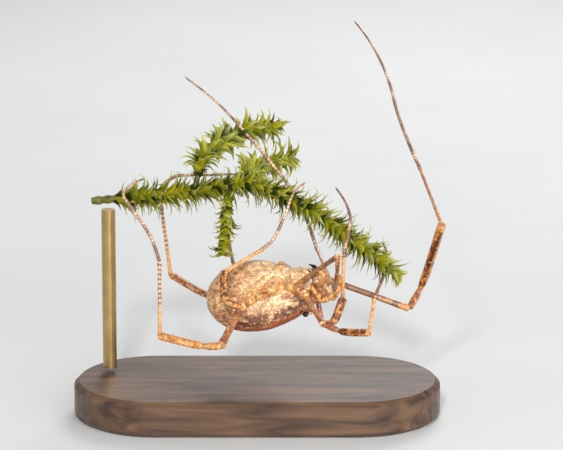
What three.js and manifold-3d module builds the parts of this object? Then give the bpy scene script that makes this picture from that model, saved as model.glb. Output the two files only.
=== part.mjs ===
// A harvestman hanging from a moss stem, with a plain display stand. Millimetres, +Z up.
// The animal is posed in a picture frame: x to the right, y away from the viewer, z up,
// with its origin at the middle of the body. That frame is then pitched and lifted into place.
import * as THREE from "three";
import { mergeVertices } from "three/addons/utils/BufferGeometryUtils.js";
import Module from "manifold-3d";

const wasm = await Module();
wasm.setup();
const { Manifold, Mesh } = wasm;

// Driving sizes
const BODY_HEIGHT_ABOVE_BASE = 7.7;
const BODY_FORWARD = -1.0;
const PICTURE_PITCH = 15;
const BODY_ROLL = 135;
const BODY_LIFT = 5;
const BODY_TURN = 20;
const GAP = 0.3;
const LEG_GAP = 0.25;
const ANKLE_GAP = 0.34;
const WELD = 0.012;
const LIMB_SIDES = 6;
const HIP_SIDES = 9;
const JAW_SIDES = 8;
const ROOM_SIDES = 10;
const END_BEVEL = 0.5;
const END_BEVEL_SHARE = 0.3;
const END_FACE = 0.62;

// Body outline: place along the body, half width, height of the back, depth of the belly
const BODY_STATIONS = [
  [-3.15, 0, 0, 0],
  [-3.03, 0.72, 0.6, 0.58],
  [-2.62, 1.36, 1.18, 1.14],
  [-1.9, 1.92, 1.66, 1.6],
  [-1.0, 2.27, 1.93, 1.85],
  [0.0, 2.36, 2.0, 1.88],
  [0.7, 2.26, 2.0, 1.76],
  [1.3, 2.02, 1.92, 1.5],
  [1.9, 1.8, 1.74, 1.32],
  [2.5, 1.54, 1.5, 1.15],
  [3.05, 1.16, 1.12, 0.9],
  [3.3, 0, 0, 0],
];
const WAIST = 1.0;
const BODY_SPAN = 12;
const TRUNK_RINGS = 22;
const TRUNK_SIDES = 26;
const TRUNK_CAP = 0.05;
const FURROWS = [-2.72, -2.25, -1.7, -1.1, -0.45, 0.2];
const FURROW_DEPTH = 0.035;
const FURROW_WIDTH = 0.1;

// Head: the eye mound and its two eyes, in the body's own frame
const MOUND_AT = [2.62, 0, 1.38];
const MOUND_SIZE = [0.38, 0.31, 0.36];
const EYE_RADIUS = 0.19;
const EYE_AT = [2.66, 0.36, 1.55];
const EYE_CLEARANCE = 0.1;

// Jaws and palps, left side in the body's frame; the right side mirrors them unless posed apart
const JAW_BASE = [
  [3.2, 0.38, 0.14],
  [3.75, 0.4, 0.22],
  [4.2, 0.4, 0.02],
];
const JAW_BASE_RADIUS = [0.3, 0.32, 0.26];
const JAW_CLEARANCE = 0.6;
const JAW_HAND = [
  [4.32, 0.39, -0.34],
  [4.28, 0.38, -0.9],
  [4.15, 0.3, -1.45],
];
const JAW_HAND_RADIUS = [0.3, 0.36, 0.24];
const JAW_FINGERS = [
  { tip: [3.88, 0.2, -1.98], radius: [0.17, 0.14, 0.05] },
  { tip: [4.12, 0.16, -1.95], radius: [0.15, 0.12, 0.05] },
];
const PALP_RADIUS = 0.235;
const PALP_KNOB = 0.25;
const PALP_FOOT_RADIUS = [0.25, 0.22, 0.08];
const PALP_HIP_RADIUS = [0.34, 0.32, 0.3];
const PALP_HIP_ROOT = [2.9, 0.7, -0.6];
const PALP_LEFT = [
  [3.98, 0.92, -1.28],
  [4.35, 1.17, -0.25],
  [4.92, 1.16, -0.4],
  [5.2, 1.3, -1.0],
  [4.92, 1.2, -1.6],
];
const PALP_RIGHT = [
  [3.6, -0.9, -0.75],
  [3.84, -0.97, 0.3],
  [4.13, -0.84, 1.6],
  [4.74, -1.35, 0.84],
  [4.89, -1.39, 0.33],
];

// Inner ends of the hip segments, one side, in the body's frame
const COXA_ROOTS = [
  [2.75, 0.3, -0.75],
  [2.3, 0.34, -1.1],
  [1.65, 0.38, -1.3],
  [1.2, 0.45, -1.45],
];
const COXA_RADIUS = 0.4;
const COXA_TAPER = 0.9;
const TROCHANTER_RADIUS = 0.33;
const HIP_ROOM_LENGTH = 2.2;
const HIP_ROOM_RADIUS = 0.52;

// Belly plate between the hip segments
const PLATE_BACK = [0.6, 0, -1.5];
const PLATE_FRONT = [2.5, 0, -1.12];
const PLATE_RADIUS = [0.5, 0.46, 0.34];
const PLATE_ROOM_LEAD = 0.16;

// Leg segment lengths, pair by pair: femur, patella, tibia, metatarsus, tarsus
const LEG_LENGTHS = [
  [3.0, 1.2, 2.4, 2.9, 4.6],
  [6.8, 1.4, 6.3, 5.3, 13.2],
  [3.0, 1.2, 2.5, 3.4, 4.8],
  [3.9, 1.3, 3.0, 4.7, 6.2],
];
const FEMUR_RADIUS = [0.27, 0.25, 0.29];
const KNEE_COLLAR_RADIUS = [0.28, 0.28, 0.26];
const KNEE_RADIUS = 0.29;
const TIBIA_RADIUS = [0.27, 0.28, 0.27];
const SHIN_COLLAR_RADIUS = [0.26, 0.26, 0.25];
const SHIN_KNOB_RADIUS = 0.27;
const METATARSUS_RADIUS = [0.26, 0.25, 0.25];
const TARSUS_RADIUS = [0.25, 0.25, 0.06];
const COLLAR_OVERRUN = 0.06;
const BEND_MARGIN = 0.12;
const LEAST_OPENING = 0.4;

// Pose of each leg in the picture frame: hip place, then heading and lean of each segment in
// degrees (heading 0 is right and 90 is up; lean is away from the viewer), then the headings
// along the tarsus and its lean
const LEGS = {
  left_1: {
    pair: 1,
    hip: [2.85, -2.6, 0.02],
    bones: [[-58, -50], [9, 60], [65, 53], [88, 32]],
    toes: [83, 75, 80, 86, 107, 117, 126],
    toeLean: 18,
  },
  right_1: {
    pair: 1,
    hip: [3.33, -0.1, 1.33],
    bones: [[-80, -2], [-25, -2], [-2, -45], [80, 46]],
    toes: [66, 66, 70, 78, 92, 110],
    toeLean: 40,
  },
  left_2: {
    pair: 2,
    hip: [2.2, -2.7, 0.58],
    bones: [[36, -63], [-92, 48], [-94, 80], [113, 60]],
    toes: [108, 114, 122, 128, 130, 131, 133, 138, 143],
    toeLean: 4,
  },
  right_2: {
    pair: 2,
    hip: [2.74, 0.8, 1.48],
    bones: [[-20, 5], [61, 12], [74, -51], [109, 45]],
    toes: [112, 110, 107, 102, 107, 113, 119, 125],
    toeLean: 42,
  },
  left_3: {
    pair: 3,
    hip: [0.78, -2.85, 0.34],
    bones: [[-150, -51], [159, 38], [95, 48], [31, 40]],
    toes: [41, 58, 66, 66, 72, 62, 38],
    toeLean: 8,
  },
  right_3: {
    pair: 3,
    hip: [1.45, -0.2, 1.85],
    bones: [[-40, 80], [-90, 20], [-150, 35], [122, 28]],
    toes: [100, 97, 95, 92],
    toeLean: -50,
  },
  left_4: {
    pair: 4,
    hip: [-0.63, -2.6, -0.07],
    bones: [[-117, -36], [-179, 35], [168, 29], [91, 22]],
    toes: [108, 112, 121, 125, 126, 118, 50, 24],
    toeLean: 9,
  },
  right_4: {
    pair: 4,
    hip: [-0.1, 1.1, 1.9],
    bones: [[-140, 60], [-145, 0], [155, 15], [97, -24]],
    toes: [88, 40, 6, 0, 2, 0],
    toeLean: -6,
  },
};

// Moss: the main stem and its side shoots in the picture frame, with their radii
const STEM_RADIUS = 0.32;
const SHOOT_RADIUS = 0.27;
const STEM = [
  [-9.9, 1.0, 5.6],
  [-6.96, 1.0, 5.89],
  [-3.39, 1.05, 6.25],
  [-0.42, 1.1, 6.55],
  [2.56, 1.05, 5.42],
  [5.4, 1.0, 3.55],
  [8.3, 1.0, 1.35],
];
const SHOOTS = {
  hanging_shoot: [
    [-1.7, 1.05, 5.75],
    [-1.82, 1.0, 4.4],
    [-2.0, 0.9, 2.6],
  ],
  upper_shoot: [
    [-0.7, 2.05, 7.15],
    [0.3, 4.0, 7.8],
    [1.9, 5.0, 8.2],
  ],
  back_shoot: [
    [-3.6, 1.35, 6.98],
    [-3.3, 1.5, 8.0],
    [-2.3, 2.9, 9.1],
    [-0.7, 4.5, 9.9],
    [1.1, 5.2, 10.2],
  ],
};
const STEM_TIP_RADIUS = 0.16;
const STEM_BARE = 1.8;
const STEM_SPLIT_X = 1.3;
const STEM_SPAN = 40;
const SHOOT_BARE = 0.6;
const LEAF_LENGTH = 1.15;
const LEAF_RADIUS = 0.26;
const LEAF_SINK = 0.17;
const LEAF_SLANT = 0.75;
const LEAF_DROOP = 0.25;
const LEAF_CLEARANCE = 0.62;
const LEAF_ROOT_CLEARANCE = 0.74;
const SHOOT_CLEARANCE = 0.75;
const LEAF_STEP = 0.85;
const LEAF_TWIST = 0.137;
const LEAF_START = 1;
const LEAVES_ROUND = 3;

// Stand: a flat base with round ends and one rod up to the stem
const BASE_LENGTH = 22;
const BASE_DEPTH = 10;
const BASE_HEIGHT = 2.2;
const BASE_BEVEL = 0.3;
const ROD_RADIUS = 0.42;
const ROD_X = -8.9;

// Colours
const COLOURS = {
  body: [0xb98a5e, 0.55, 0],
  leg: [0xa8754c, 0.5, 0],
  eye: [0x0b0a0c, 0.12, 0],
  moss: [0x7f9a35, 0.6, 0],
  wood: [0x5a4030, 0.6, 0],
  brass: [0xb5975a, 0.35, 0.9],
};
const material = (key) => {
  const [color, roughness, metalness] = COLOURS[key];
  return new THREE.MeshStandardMaterial({ color, roughness, metalness });
};

const rad = THREE.MathUtils.degToRad;
const vec = (a) => new THREE.Vector3(a[0], a[1], a[2]);

// Frames: body to picture, and picture to world
const bodyToPicture = new THREE.Matrix4().makeRotationFromEuler(
  new THREE.Euler(rad(-BODY_ROLL), rad(-BODY_LIFT), rad(-BODY_TURN), "ZYX"),
);
const pictureToWorld = new THREE.Matrix4()
  .makeTranslation(0, BODY_FORWARD, BODY_HEIGHT_ABOVE_BASE)
  .multiply(new THREE.Matrix4().makeRotationX(rad(-PICTURE_PITCH)));
const fromBody = (a) => vec(a).applyMatrix4(bodyToPicture);
const onSide = (side, [x, y, z]) => fromBody([x, side === "left" ? y : -y, z]);

// A closed lathe surface whose points are moved by place(u, angle)
function formed(levels, sides, place) {
  const last = levels.length - 1;
  const profile = levels.map((u, i) => new THREE.Vector2(i === 0 || i === last ? 0 : 1, u));
  const geometry = new THREE.LatheGeometry(profile, sides);
  const position = geometry.attributes.position;
  const stride = levels.length;
  for (let i = 0; i < position.count; i++) {
    const side = Math.floor(i / stride) % sides;
    const angle = (side / sides) * Math.PI * 2;
    const point = place(levels[i % stride], angle);
    position.setXYZ(i, point.x, point.y, point.z);
  }
  return geometry;
}

// A geometry as a solid, without the faces that shrink to nothing on the axis
function solid(geometry) {
  geometry.deleteAttribute("normal");
  geometry.deleteAttribute("uv");
  const merged = mergeVertices(geometry, 1e-4);
  const index = merged.index.array;
  const kept = [];
  for (let i = 0; i < index.length; i += 3) {
    const [a, b, c] = [index[i], index[i + 1], index[i + 2]];
    if (a !== b && b !== c && c !== a) kept.push(a, b, c);
  }
  const vertProperties = new Float32Array(merged.attributes.position.array);
  return new Manifold(new Mesh({ numProp: 3, vertProperties, triVerts: new Uint32Array(kept) }));
}

// A solid as a geometry, keeping only its largest closed body
function geometryOf(shape) {
  const bodies = shape.simplify(WELD).decompose();
  bodies.sort((a, b) => b.volume() - a.volume());
  const mesh = bodies[0].getMesh();
  const geometry = new THREE.BufferGeometry();
  const position = new Float32Array(mesh.numVert * 3);
  for (let i = 0; i < mesh.numVert; i++) {
    for (let k = 0; k < 3; k++) position[i * 3 + k] = mesh.vertProperties[i * mesh.numProp + k];
  }
  geometry.setAttribute("position", new THREE.BufferAttribute(position, 3));
  geometry.setIndex(new THREE.BufferAttribute(new Uint32Array(mesh.triVerts), 1));
  geometry.computeVertexNormals();
  return geometry;
}

const join = (shapes) => Manifold.union(shapes);

// A limb along a centre line: flat, chamfered ends, and radii at its start, middle and end
function limb(points, radii, sides = LIMB_SIDES, rings = 2) {
  const line = points.map((p) => (p.isVector3 ? p : vec(p)));
  const curve =
    line.length > 2
      ? new THREE.CatmullRomCurve3(line, false, "centripetal")
      : new THREE.LineCurve3(line[0], line[1]);
  const length = curve.getLength();
  const [start, middle, end] = radii;
  const bevel = (radius) => Math.min((END_BEVEL * radius) / length, END_BEVEL_SHARE);
  const startBevel = bevel(start);
  const endBevel = bevel(end);
  const levels = [0, 0, startBevel];
  for (let i = 1; i < rings; i++) levels.push(startBevel + (i / rings) * (1 - startBevel - endBevel));
  levels.push(1 - endBevel, 1, 1);
  const radiusAt = (u) =>
    u < 0.5
      ? THREE.MathUtils.lerp(start, middle, u * 2)
      : THREE.MathUtils.lerp(middle, end, u * 2 - 1);
  const away = new THREE.Vector3(0, 1, 0);
  const last = levels.length - 1;
  const profile = levels.map((u, i) => {
    if (i === 0 || i === last) return [u, 0];
    if (i === 1) return [u, start * END_FACE];
    if (i === last - 1) return [u, end * END_FACE];
    return [u, radiusAt(u)];
  });
  const ordered = profile.map((_, i) => i);
  return solid(
    formed(ordered, sides, (i, angle) => {
      const [u, r] = profile[i];
      const centre = curve.getPointAt(Math.min(u, 1));
      const along = curve.getTangentAt(Math.min(u, 1));
      const across = new THREE.Vector3().crossVectors(along, away).normalize();
      const over = new THREE.Vector3().crossVectors(across, along);
      return centre
        .addScaledVector(across, r * Math.sin(angle))
        .addScaledVector(over, r * Math.cos(angle));
    }),
  );
}

// A four-sided spike from start to end
function spike(start, end, radius) {
  const along = end.clone().sub(start);
  const turn = new THREE.Quaternion().setFromUnitVectors(
    new THREE.Vector3(0, 1, 0),
    along.clone().normalize(),
  );
  const middle = start.clone().lerp(end, 0.5);
  return solid(
    new THREE.ConeGeometry(radius, along.length(), 4)
      .applyQuaternion(turn)
      .translate(middle.x, middle.y, middle.z),
  );
}

const ball = (centre, radius, detail = 2) =>
  solid(new THREE.IcosahedronGeometry(radius, detail).translate(centre.x, centre.y, centre.z));

const knob = (centre, radius) =>
  solid(new THREE.SphereGeometry(radius, 7, 4).translate(centre.x, centre.y, centre.z));

const root = new THREE.Group();
const picture = new THREE.Group();
picture.applyMatrix4(pictureToWorld);
root.add(picture);

function addTo(group, name, shape, colour) {
  const mesh = new THREE.Mesh(geometryOf(shape), material(colour));
  mesh.name = name;
  group.add(mesh);
}

// Trunk
const trunkLine = new THREE.CatmullRomCurve3(
  BODY_STATIONS.map(([x, w, d]) => new THREE.Vector3(x, w, d)),
);
const bellyLine = new THREE.CatmullRomCurve3(
  BODY_STATIONS.map(([x, , , v]) => new THREE.Vector3(x, v, 0)),
);
const furrow = (x) =>
  FURROWS.reduce((sum, f) => sum + FURROW_DEPTH * Math.exp(-(((x - f) / FURROW_WIDTH) ** 2)), 0);
function trunkPoint(u, angle) {
  const { x, y: width, z: back } = trunkLine.getPoint(u);
  const belly = bellyLine.getPoint(u).y;
  const shrink = 1 - furrow(x) / 2;
  const side = -Math.sin(angle) * width * shrink;
  const up = Math.cos(angle) * (Math.cos(angle) > 0 ? back : belly) * shrink;
  return fromBody([x, side, up]);
}
const trunkLevels = [0];
for (let i = 0; i <= TRUNK_RINGS; i++) {
  trunkLevels.push(TRUNK_CAP + (i / TRUNK_RINGS) * (1 - 2 * TRUNK_CAP));
}
trunkLevels.push(1);
const trunk = solid(formed(trunkLevels, TRUNK_SIDES, trunkPoint));

// A half space on one side of a plane across the body
function slab(from, to) {
  const box = new THREE.BoxGeometry(to - from, BODY_SPAN, BODY_SPAN);
  box.translate((from + to) / 2, 0, 0);
  return solid(box.applyMatrix4(bodyToPicture));
}

// Legs: joint places, then the solids between them
const heading = ([turn, lean]) =>
  new THREE.Vector3(
    Math.cos(rad(lean)) * Math.cos(rad(turn)),
    Math.sin(rad(lean)),
    Math.cos(rad(lean)) * Math.sin(rad(turn)),
  );
// How far before a bend one segment hands over to the next, so that the two stay apart
function handover(before, after, radius) {
  const bend = Math.acos(THREE.MathUtils.clamp(before.dot(after), -1, 1));
  const open = bend > Math.PI / 2 ? Math.sin(bend) : 1;
  return (2 * radius + BEND_MARGIN) / Math.max(open, LEAST_OPENING);
}

const legSolids = {};
const clearances = [];
const centreLines = [];
const coxae = { left: [], right: [] };
for (const [name, leg] of Object.entries(LEGS)) {
  const lengths = LEG_LENGTHS[leg.pair - 1];
  const ways = leg.bones.map(heading);
  const joints = [vec(leg.hip)];
  ways.forEach((way, i) => joints.push(joints[i].clone().addScaledVector(way, lengths[i])));
  const toeWays = leg.toes.map((turn) => heading([turn, leg.toeLean]));
  const toePoints = [joints[4]];
  toeWays.forEach((way, i) =>
    toePoints.push(toePoints[i].clone().addScaledVector(way, lengths[4] / toeWays.length)),
  );
  const kneeBefore = handover(ways[0], ways[1], TIBIA_RADIUS[0]);
  const shinBefore = handover(ways[2], ways[3], METATARSUS_RADIUS[0]);
  const at = (i, way, distance) => joints[i].clone().addScaledVector(way, distance);

  const femur = join([
    ball(joints[0], TROCHANTER_RADIUS, 1),
    limb([joints[0], at(1, ways[0], -kneeBefore)], FEMUR_RADIUS),
  ]);
  const collar = (i, way, before, radius) =>
    limb([at(i, way, LEG_GAP - before), at(i, way, COLLAR_OVERRUN)], radius, LIMB_SIDES, 1);
  const tibia = join([
    collar(1, ways[0], kneeBefore, KNEE_COLLAR_RADIUS),
    knob(joints[1], KNEE_RADIUS),
    limb([joints[1], joints[2], at(3, ways[2], -shinBefore)], TIBIA_RADIUS, LIMB_SIDES, 6),
  ]);
  const metatarsus = join([
    collar(3, ways[2], shinBefore, SHIN_COLLAR_RADIUS),
    knob(joints[3], SHIN_KNOB_RADIUS),
    limb([joints[3], at(4, ways[3], -ANKLE_GAP / 2)], METATARSUS_RADIUS),
  ]);
  const toeLine = toePoints.map((p) => p.clone());
  toeLine[0].addScaledVector(toeWays[0], ANKLE_GAP / 2);
  const tarsus = limb(toeLine, TARSUS_RADIUS, LIMB_SIDES, toeWays.length + 3);

  const base = "leg_" + name;
  legSolids[base + "_femur"] = femur;
  legSolids[base + "_tibia"] = tibia;
  legSolids[base + "_metatarsus"] = metatarsus;
  legSolids[base + "_tarsus"] = tarsus;
  clearances.push(ball(joints[0], TROCHANTER_RADIUS + LEG_GAP, 1));
  const room = [HIP_ROOM_RADIUS, HIP_ROOM_RADIUS, HIP_ROOM_RADIUS];
  clearances.push(limb([joints[0], at(0, ways[0], HIP_ROOM_LENGTH)], room));
  centreLines.push([...joints.slice(0, 5), ...toePoints.slice(1)]);

  // Hip segment from the middle of the body out to this leg
  const side = name.startsWith("left") ? "left" : "right";
  const inner = onSide(side, COXA_ROOTS[leg.pair - 1]);
  const coxaRadius = [COXA_RADIUS, COXA_RADIUS, COXA_RADIUS * COXA_TAPER];
  coxae[side].push(limb([inner, joints[0]], coxaRadius, HIP_SIDES));
}

// Jaws and palps
function jaw(side) {
  const basePoints = JAW_BASE.map((p) => onSide(side, p));
  const handPoints = JAW_HAND.map((p) => onSide(side, p));
  const fingers = JAW_FINGERS.map(({ tip, radius }) =>
    limb([handPoints[2], onSide(side, tip)], radius),
  );
  const hand = join([limb(handPoints, JAW_HAND_RADIUS, HIP_SIDES, 5), ...fingers]);
  return [limb(basePoints, JAW_BASE_RADIUS, JAW_SIDES, 5), hand];
}
const head = {};
for (const side of ["left", "right"]) {
  const [base, hand] = jaw(side);
  head["chelicera_" + side + "_base"] = base;
  head["chelicera_" + side + "_hand"] = hand;
}
function palp(points) {
  const line = points.map(fromBody);
  const way = line.slice(1).map((p, i) => p.clone().sub(line[i]).normalize());
  const femurLength = line[0].distanceTo(line[1]);
  const kneeBefore = Math.min(handover(way[0], way[1], PALP_RADIUS), femurLength * 0.5);
  const at = (i, k, distance) => line[i].clone().addScaledVector(way[k], distance);
  const even = [PALP_RADIUS, PALP_RADIUS, PALP_RADIUS];
  const upper = join([
    ball(line[0], PALP_KNOB, 1),
    limb([line[0], at(1, 0, -kneeBefore)], even, LIMB_SIDES, 1),
  ]);
  const lower = join([
    limb([at(1, 0, LEG_GAP - kneeBefore), line[1]], even, LIMB_SIDES, 1),
    knob(line[1], PALP_KNOB),
    limb([line[1], line[2], line[3]], even, LIMB_SIDES, 5),
  ]);
  const foot = limb([at(3, 3, LEG_GAP), line[4]], PALP_FOOT_RADIUS);
  return [upper, lower, foot];
}
for (const [side, points] of [["left", PALP_LEFT], ["right", PALP_RIGHT]]) {
  const [upper, lower, foot] = palp(points);
  head["palp_" + side + "_femur"] = upper;
  head["palp_" + side + "_tibia"] = lower;
  head["palp_" + side + "_tarsus"] = foot;
  const hip = fromBody(points[0]);
  clearances.push(ball(hip, PALP_KNOB + LEG_GAP, 1));
  coxae[side].push(limb([onSide(side, PALP_HIP_ROOT), hip], PALP_HIP_RADIUS, JAW_SIDES));
}
for (const side of ["left", "right"]) {
  const points = JAW_BASE.map((p) => onSide(side, p));
  const out = points[1].clone().sub(points[0]).normalize();
  const behind = points[0].clone().addScaledVector(out, -GAP);
  clearances.push(limb([behind, points[2]], [JAW_CLEARANCE, JAW_CLEARANCE, JAW_CLEARANCE], ROOM_SIDES));
}

// Eyes and their mound
const eyePlaces = ["left", "right"].map((side) => onSide(side, EYE_AT));
const [ml, mw, mh] = MOUND_SIZE;
const moundGeometry = new THREE.IcosahedronGeometry(1, 2)
  .scale(ml, mw, mh)
  .translate(...MOUND_AT)
  .applyMatrix4(bodyToPicture);
const eyeClear = eyePlaces.map((p) => ball(p, EYE_RADIUS + EYE_CLEARANCE, 2));
const mound = solid(moundGeometry);
const eyes = eyePlaces.map((p) => ball(p, EYE_RADIUS, 2));

// Head and belly plates in one node, the abdomen in another
const legRoom = join(clearances);
const allCoxae = join([...coxae.left, ...coxae.right]);
const plateLine = [fromBody(PLATE_BACK), fromBody(PLATE_FRONT)];
const plate = limb(plateLine, PLATE_RADIUS, ROOM_SIDES);
const front = trunk.intersect(slab(WAIST, BODY_SPAN / 2));
const prosoma = join([front, allCoxae, mound, plate])
  .subtract(legRoom)
  .subtract(join(eyeClear));
const coxaRoom = [];
for (const side of ["left", "right"]) {
  for (const pair of [3, 4]) {
    const inner = onSide(side, COXA_ROOTS[pair - 1]);
    const hip = vec(LEGS[side + "_" + pair].hip);
    const r = COXA_RADIUS + GAP;
    coxaRoom.push(limb([inner, hip], [r, r, r], ROOM_SIDES));
  }
}
const plateRoomStart = plateLine[0].clone().lerp(plateLine[1], -PLATE_ROOM_LEAD);
coxaRoom.push(limb([plateRoomStart, plateLine[1]], PLATE_RADIUS.map((r) => r + GAP), ROOM_SIDES));
const opisthosoma = trunk
  .intersect(slab(-BODY_SPAN / 2, WAIST - GAP))
  .subtract(join(coxaRoom))
  .subtract(legRoom);

addTo(picture, "prosoma", prosoma, "body");
addTo(picture, "opisthosoma", opisthosoma, "body");
addTo(picture, "eye_left", eyes[0], "eye");
addTo(picture, "eye_right", eyes[1], "eye");
for (const [name, shape] of Object.entries(head)) addTo(picture, name, shape, "body");
for (const [name, shape] of Object.entries(legSolids)) addTo(picture, name, shape, "leg");

// Moss
const limbPoints = [];
for (const line of centreLines) {
  const curve = new THREE.CatmullRomCurve3(line, false, "centripetal");
  limbPoints.push(...curve.getSpacedPoints(60));
}
const clearOfLegs = (point, distance) => limbPoints.every((p) => p.distanceTo(point) > distance);
function sprig(points, radius, first, others) {
  const curve = new THREE.CatmullRomCurve3(points.map(vec), false, "centripetal");
  const length = curve.getLength();
  const pieces = [limb(points, [radius, radius, STEM_TIP_RADIUS], LIMB_SIDES, Math.round(length))];
  const count = Math.floor((length - first) / LEAF_STEP);
  for (let i = 0; i < count; i++) {
    const u = (first + i * LEAF_STEP) / length;
    const centre = curve.getPointAt(u);
    const along = curve.getTangentAt(u);
    const across = new THREE.Vector3(0, 1, 0).cross(along).normalize();
    const over = new THREE.Vector3().crossVectors(along, across);
    for (let k = 0; k < LEAVES_ROUND; k++) {
      const angle = (i * LEAF_TWIST + k / LEAVES_ROUND) * Math.PI * 2 + LEAF_START;
      const out = across
        .clone()
        .multiplyScalar(Math.cos(angle))
        .addScaledVector(over, Math.sin(angle));
      const way = out.clone().addScaledVector(along, LEAF_SLANT).normalize();
      way.z -= LEAF_DROOP;
      way.normalize();
      const start = centre.clone().addScaledVector(out, radius - LEAF_SINK);
      const end = start.clone().addScaledVector(way, LEAF_LENGTH);
      const middle = start.clone().lerp(end, 0.6);
      const free =
        clearOfLegs(end, LEAF_CLEARANCE) &&
        clearOfLegs(middle, LEAF_ROOT_CLEARANCE) &&
        others.every((s) => s.every((p) => p.distanceTo(end) > SHOOT_CLEARANCE));
      if (free) pieces.push(spike(start, end, LEAF_RADIUS));
    }
  }
  return join(pieces);
}
const spaced = (points) =>
  new THREE.CatmullRomCurve3(points.map(vec), false, "centripetal").getSpacedPoints(40);
const stem = sprig(STEM, STEM_RADIUS, STEM_BARE, Object.values(SHOOTS).map(spaced));
const half = (from, to) =>
  solid(new THREE.BoxGeometry(to - from, STEM_SPAN, STEM_SPAN).translate((from + to) / 2, 0, 0));
const stemStart = half(-STEM_SPAN, STEM_SPLIT_X - GAP / 2);
const stemEnd = half(STEM_SPLIT_X + GAP / 2, STEM_SPAN);
addTo(picture, "perch_stem", stem.intersect(stemStart), "moss");
addTo(picture, "perch_stem_end", stem.intersect(stemEnd), "moss");
for (const [name, points] of Object.entries(SHOOTS)) {
  const shoot = sprig(points, SHOOT_RADIUS, SHOOT_BARE, []);
  const roomRadius = [STEM_RADIUS + GAP, STEM_RADIUS + GAP, STEM_TIP_RADIUS + GAP];
  const room = limb(STEM, roomRadius, 8, 20);
  addTo(picture, "perch_" + name, shoot.subtract(room).subtract(stem), "moss");
}

// Stand
const outline = new THREE.Shape();
const reach = BASE_LENGTH / 2 - BASE_DEPTH / 2;
const round = BASE_DEPTH / 2 - BASE_BEVEL;
outline.moveTo(-reach, -round);
outline.lineTo(reach, -round);
outline.absarc(reach, 0, round, -Math.PI / 2, Math.PI / 2, false);
outline.lineTo(-reach, round);
outline.absarc(-reach, 0, round, Math.PI / 2, Math.PI * 1.5, false);
const baseGeometry = new THREE.ExtrudeGeometry(outline, {
  depth: BASE_HEIGHT - 2 * BASE_BEVEL,
  bevelEnabled: true,
  bevelThickness: BASE_BEVEL,
  bevelSize: BASE_BEVEL,
  bevelSegments: 1,
  curveSegments: 10,
}).translate(0, 0, BASE_BEVEL);
addTo(root, "stand_base", solid(baseGeometry), "wood");

const stemHere = spaced(STEM)
  .map((p) => p.clone().applyMatrix4(pictureToWorld))
  .reduce((a, b) => (Math.abs(a.x - ROD_X) < Math.abs(b.x - ROD_X) ? a : b));
const rodTop = stemHere.z - STEM_RADIUS - GAP;
const rodBottom = BASE_HEIGHT + GAP;
const rod = new THREE.CylinderGeometry(ROD_RADIUS, ROD_RADIUS, rodTop - rodBottom, 16)
  .rotateX(Math.PI / 2)
  .translate(ROD_X, stemHere.y, (rodTop + rodBottom) / 2);
addTo(root, "stand_rod", solid(rod), "brass");

export default root;
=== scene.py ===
from math import ceil, cos, pi, radians, sin, sqrt
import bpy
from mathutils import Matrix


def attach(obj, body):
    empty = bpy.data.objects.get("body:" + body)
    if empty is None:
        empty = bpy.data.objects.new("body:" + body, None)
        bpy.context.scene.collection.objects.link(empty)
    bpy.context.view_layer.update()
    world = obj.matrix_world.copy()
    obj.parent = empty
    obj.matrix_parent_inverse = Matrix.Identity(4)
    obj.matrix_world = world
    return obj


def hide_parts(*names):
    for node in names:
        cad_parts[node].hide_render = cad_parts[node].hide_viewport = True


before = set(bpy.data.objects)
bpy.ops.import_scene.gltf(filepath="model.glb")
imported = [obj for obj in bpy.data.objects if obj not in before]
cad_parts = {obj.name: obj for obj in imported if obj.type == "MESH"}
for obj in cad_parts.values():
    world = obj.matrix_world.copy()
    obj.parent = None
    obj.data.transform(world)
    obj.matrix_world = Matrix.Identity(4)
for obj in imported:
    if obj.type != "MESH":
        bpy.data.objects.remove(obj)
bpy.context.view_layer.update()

from types import SimpleNamespace

import bpy
import numpy as np
from numpy.linalg import norm
from mathutils import Matrix, Vector, noise

rng = np.random.default_rng(7)
COARSE = 1

# Sizes are in millimetres in the picture frame (x right, y away, z up) unless said otherwise.
PITCH = 15.0
LIFT = 7.7
FORWARD = -1.0
PIXELS_PER_MM = 16.8
VIEW_DISTANCE = 230.0
AIM = (1.46, 4.17)
AIM_PIXEL = (281.5, 225.0)
BODY_TURN = -20
BODY_DIP = -5
BODY_ROLL = -135
SIDES = {"left": 1, "right": -1}


def rotation(axis, degrees):
    return np.array(Matrix.Rotation(radians(degrees), 3, axis))


BODY_TO_PICTURE = rotation("Z", BODY_TURN) @ rotation("Y", BODY_DIP) @ rotation("X", BODY_ROLL)
PICTURE_TO_WORLD = rotation("X", -PITCH)


def to_world(points):
    return (np.asarray(points) @ PICTURE_TO_WORLD.T + np.array([0, FORWARD, LIFT])) * 0.001


def from_body(points):
    return np.asarray(points, float) @ BODY_TO_PICTURE.T


def to_body(points):
    return np.asarray(points, float) @ BODY_TO_PICTURE


def to_pixels(points):
    scale = VIEW_DISTANCE / (VIEW_DISTANCE + points[:, 1])
    across = AIM_PIXEL[0] + (points[:, 0] - AIM[0]) * PIXELS_PER_MM * scale
    down = AIM_PIXEL[1] - (points[:, 2] - AIM[1]) * PIXELS_PER_MM * scale
    return across, down


def linear(r, g, b):
    """A display colour, 0 to 255, as linear light."""
    c = np.array([r, g, b]) / 255.0
    return np.where(c <= 0.04045, c / 12.92, ((c + 0.055) / 1.055) ** 2.4)


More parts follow.
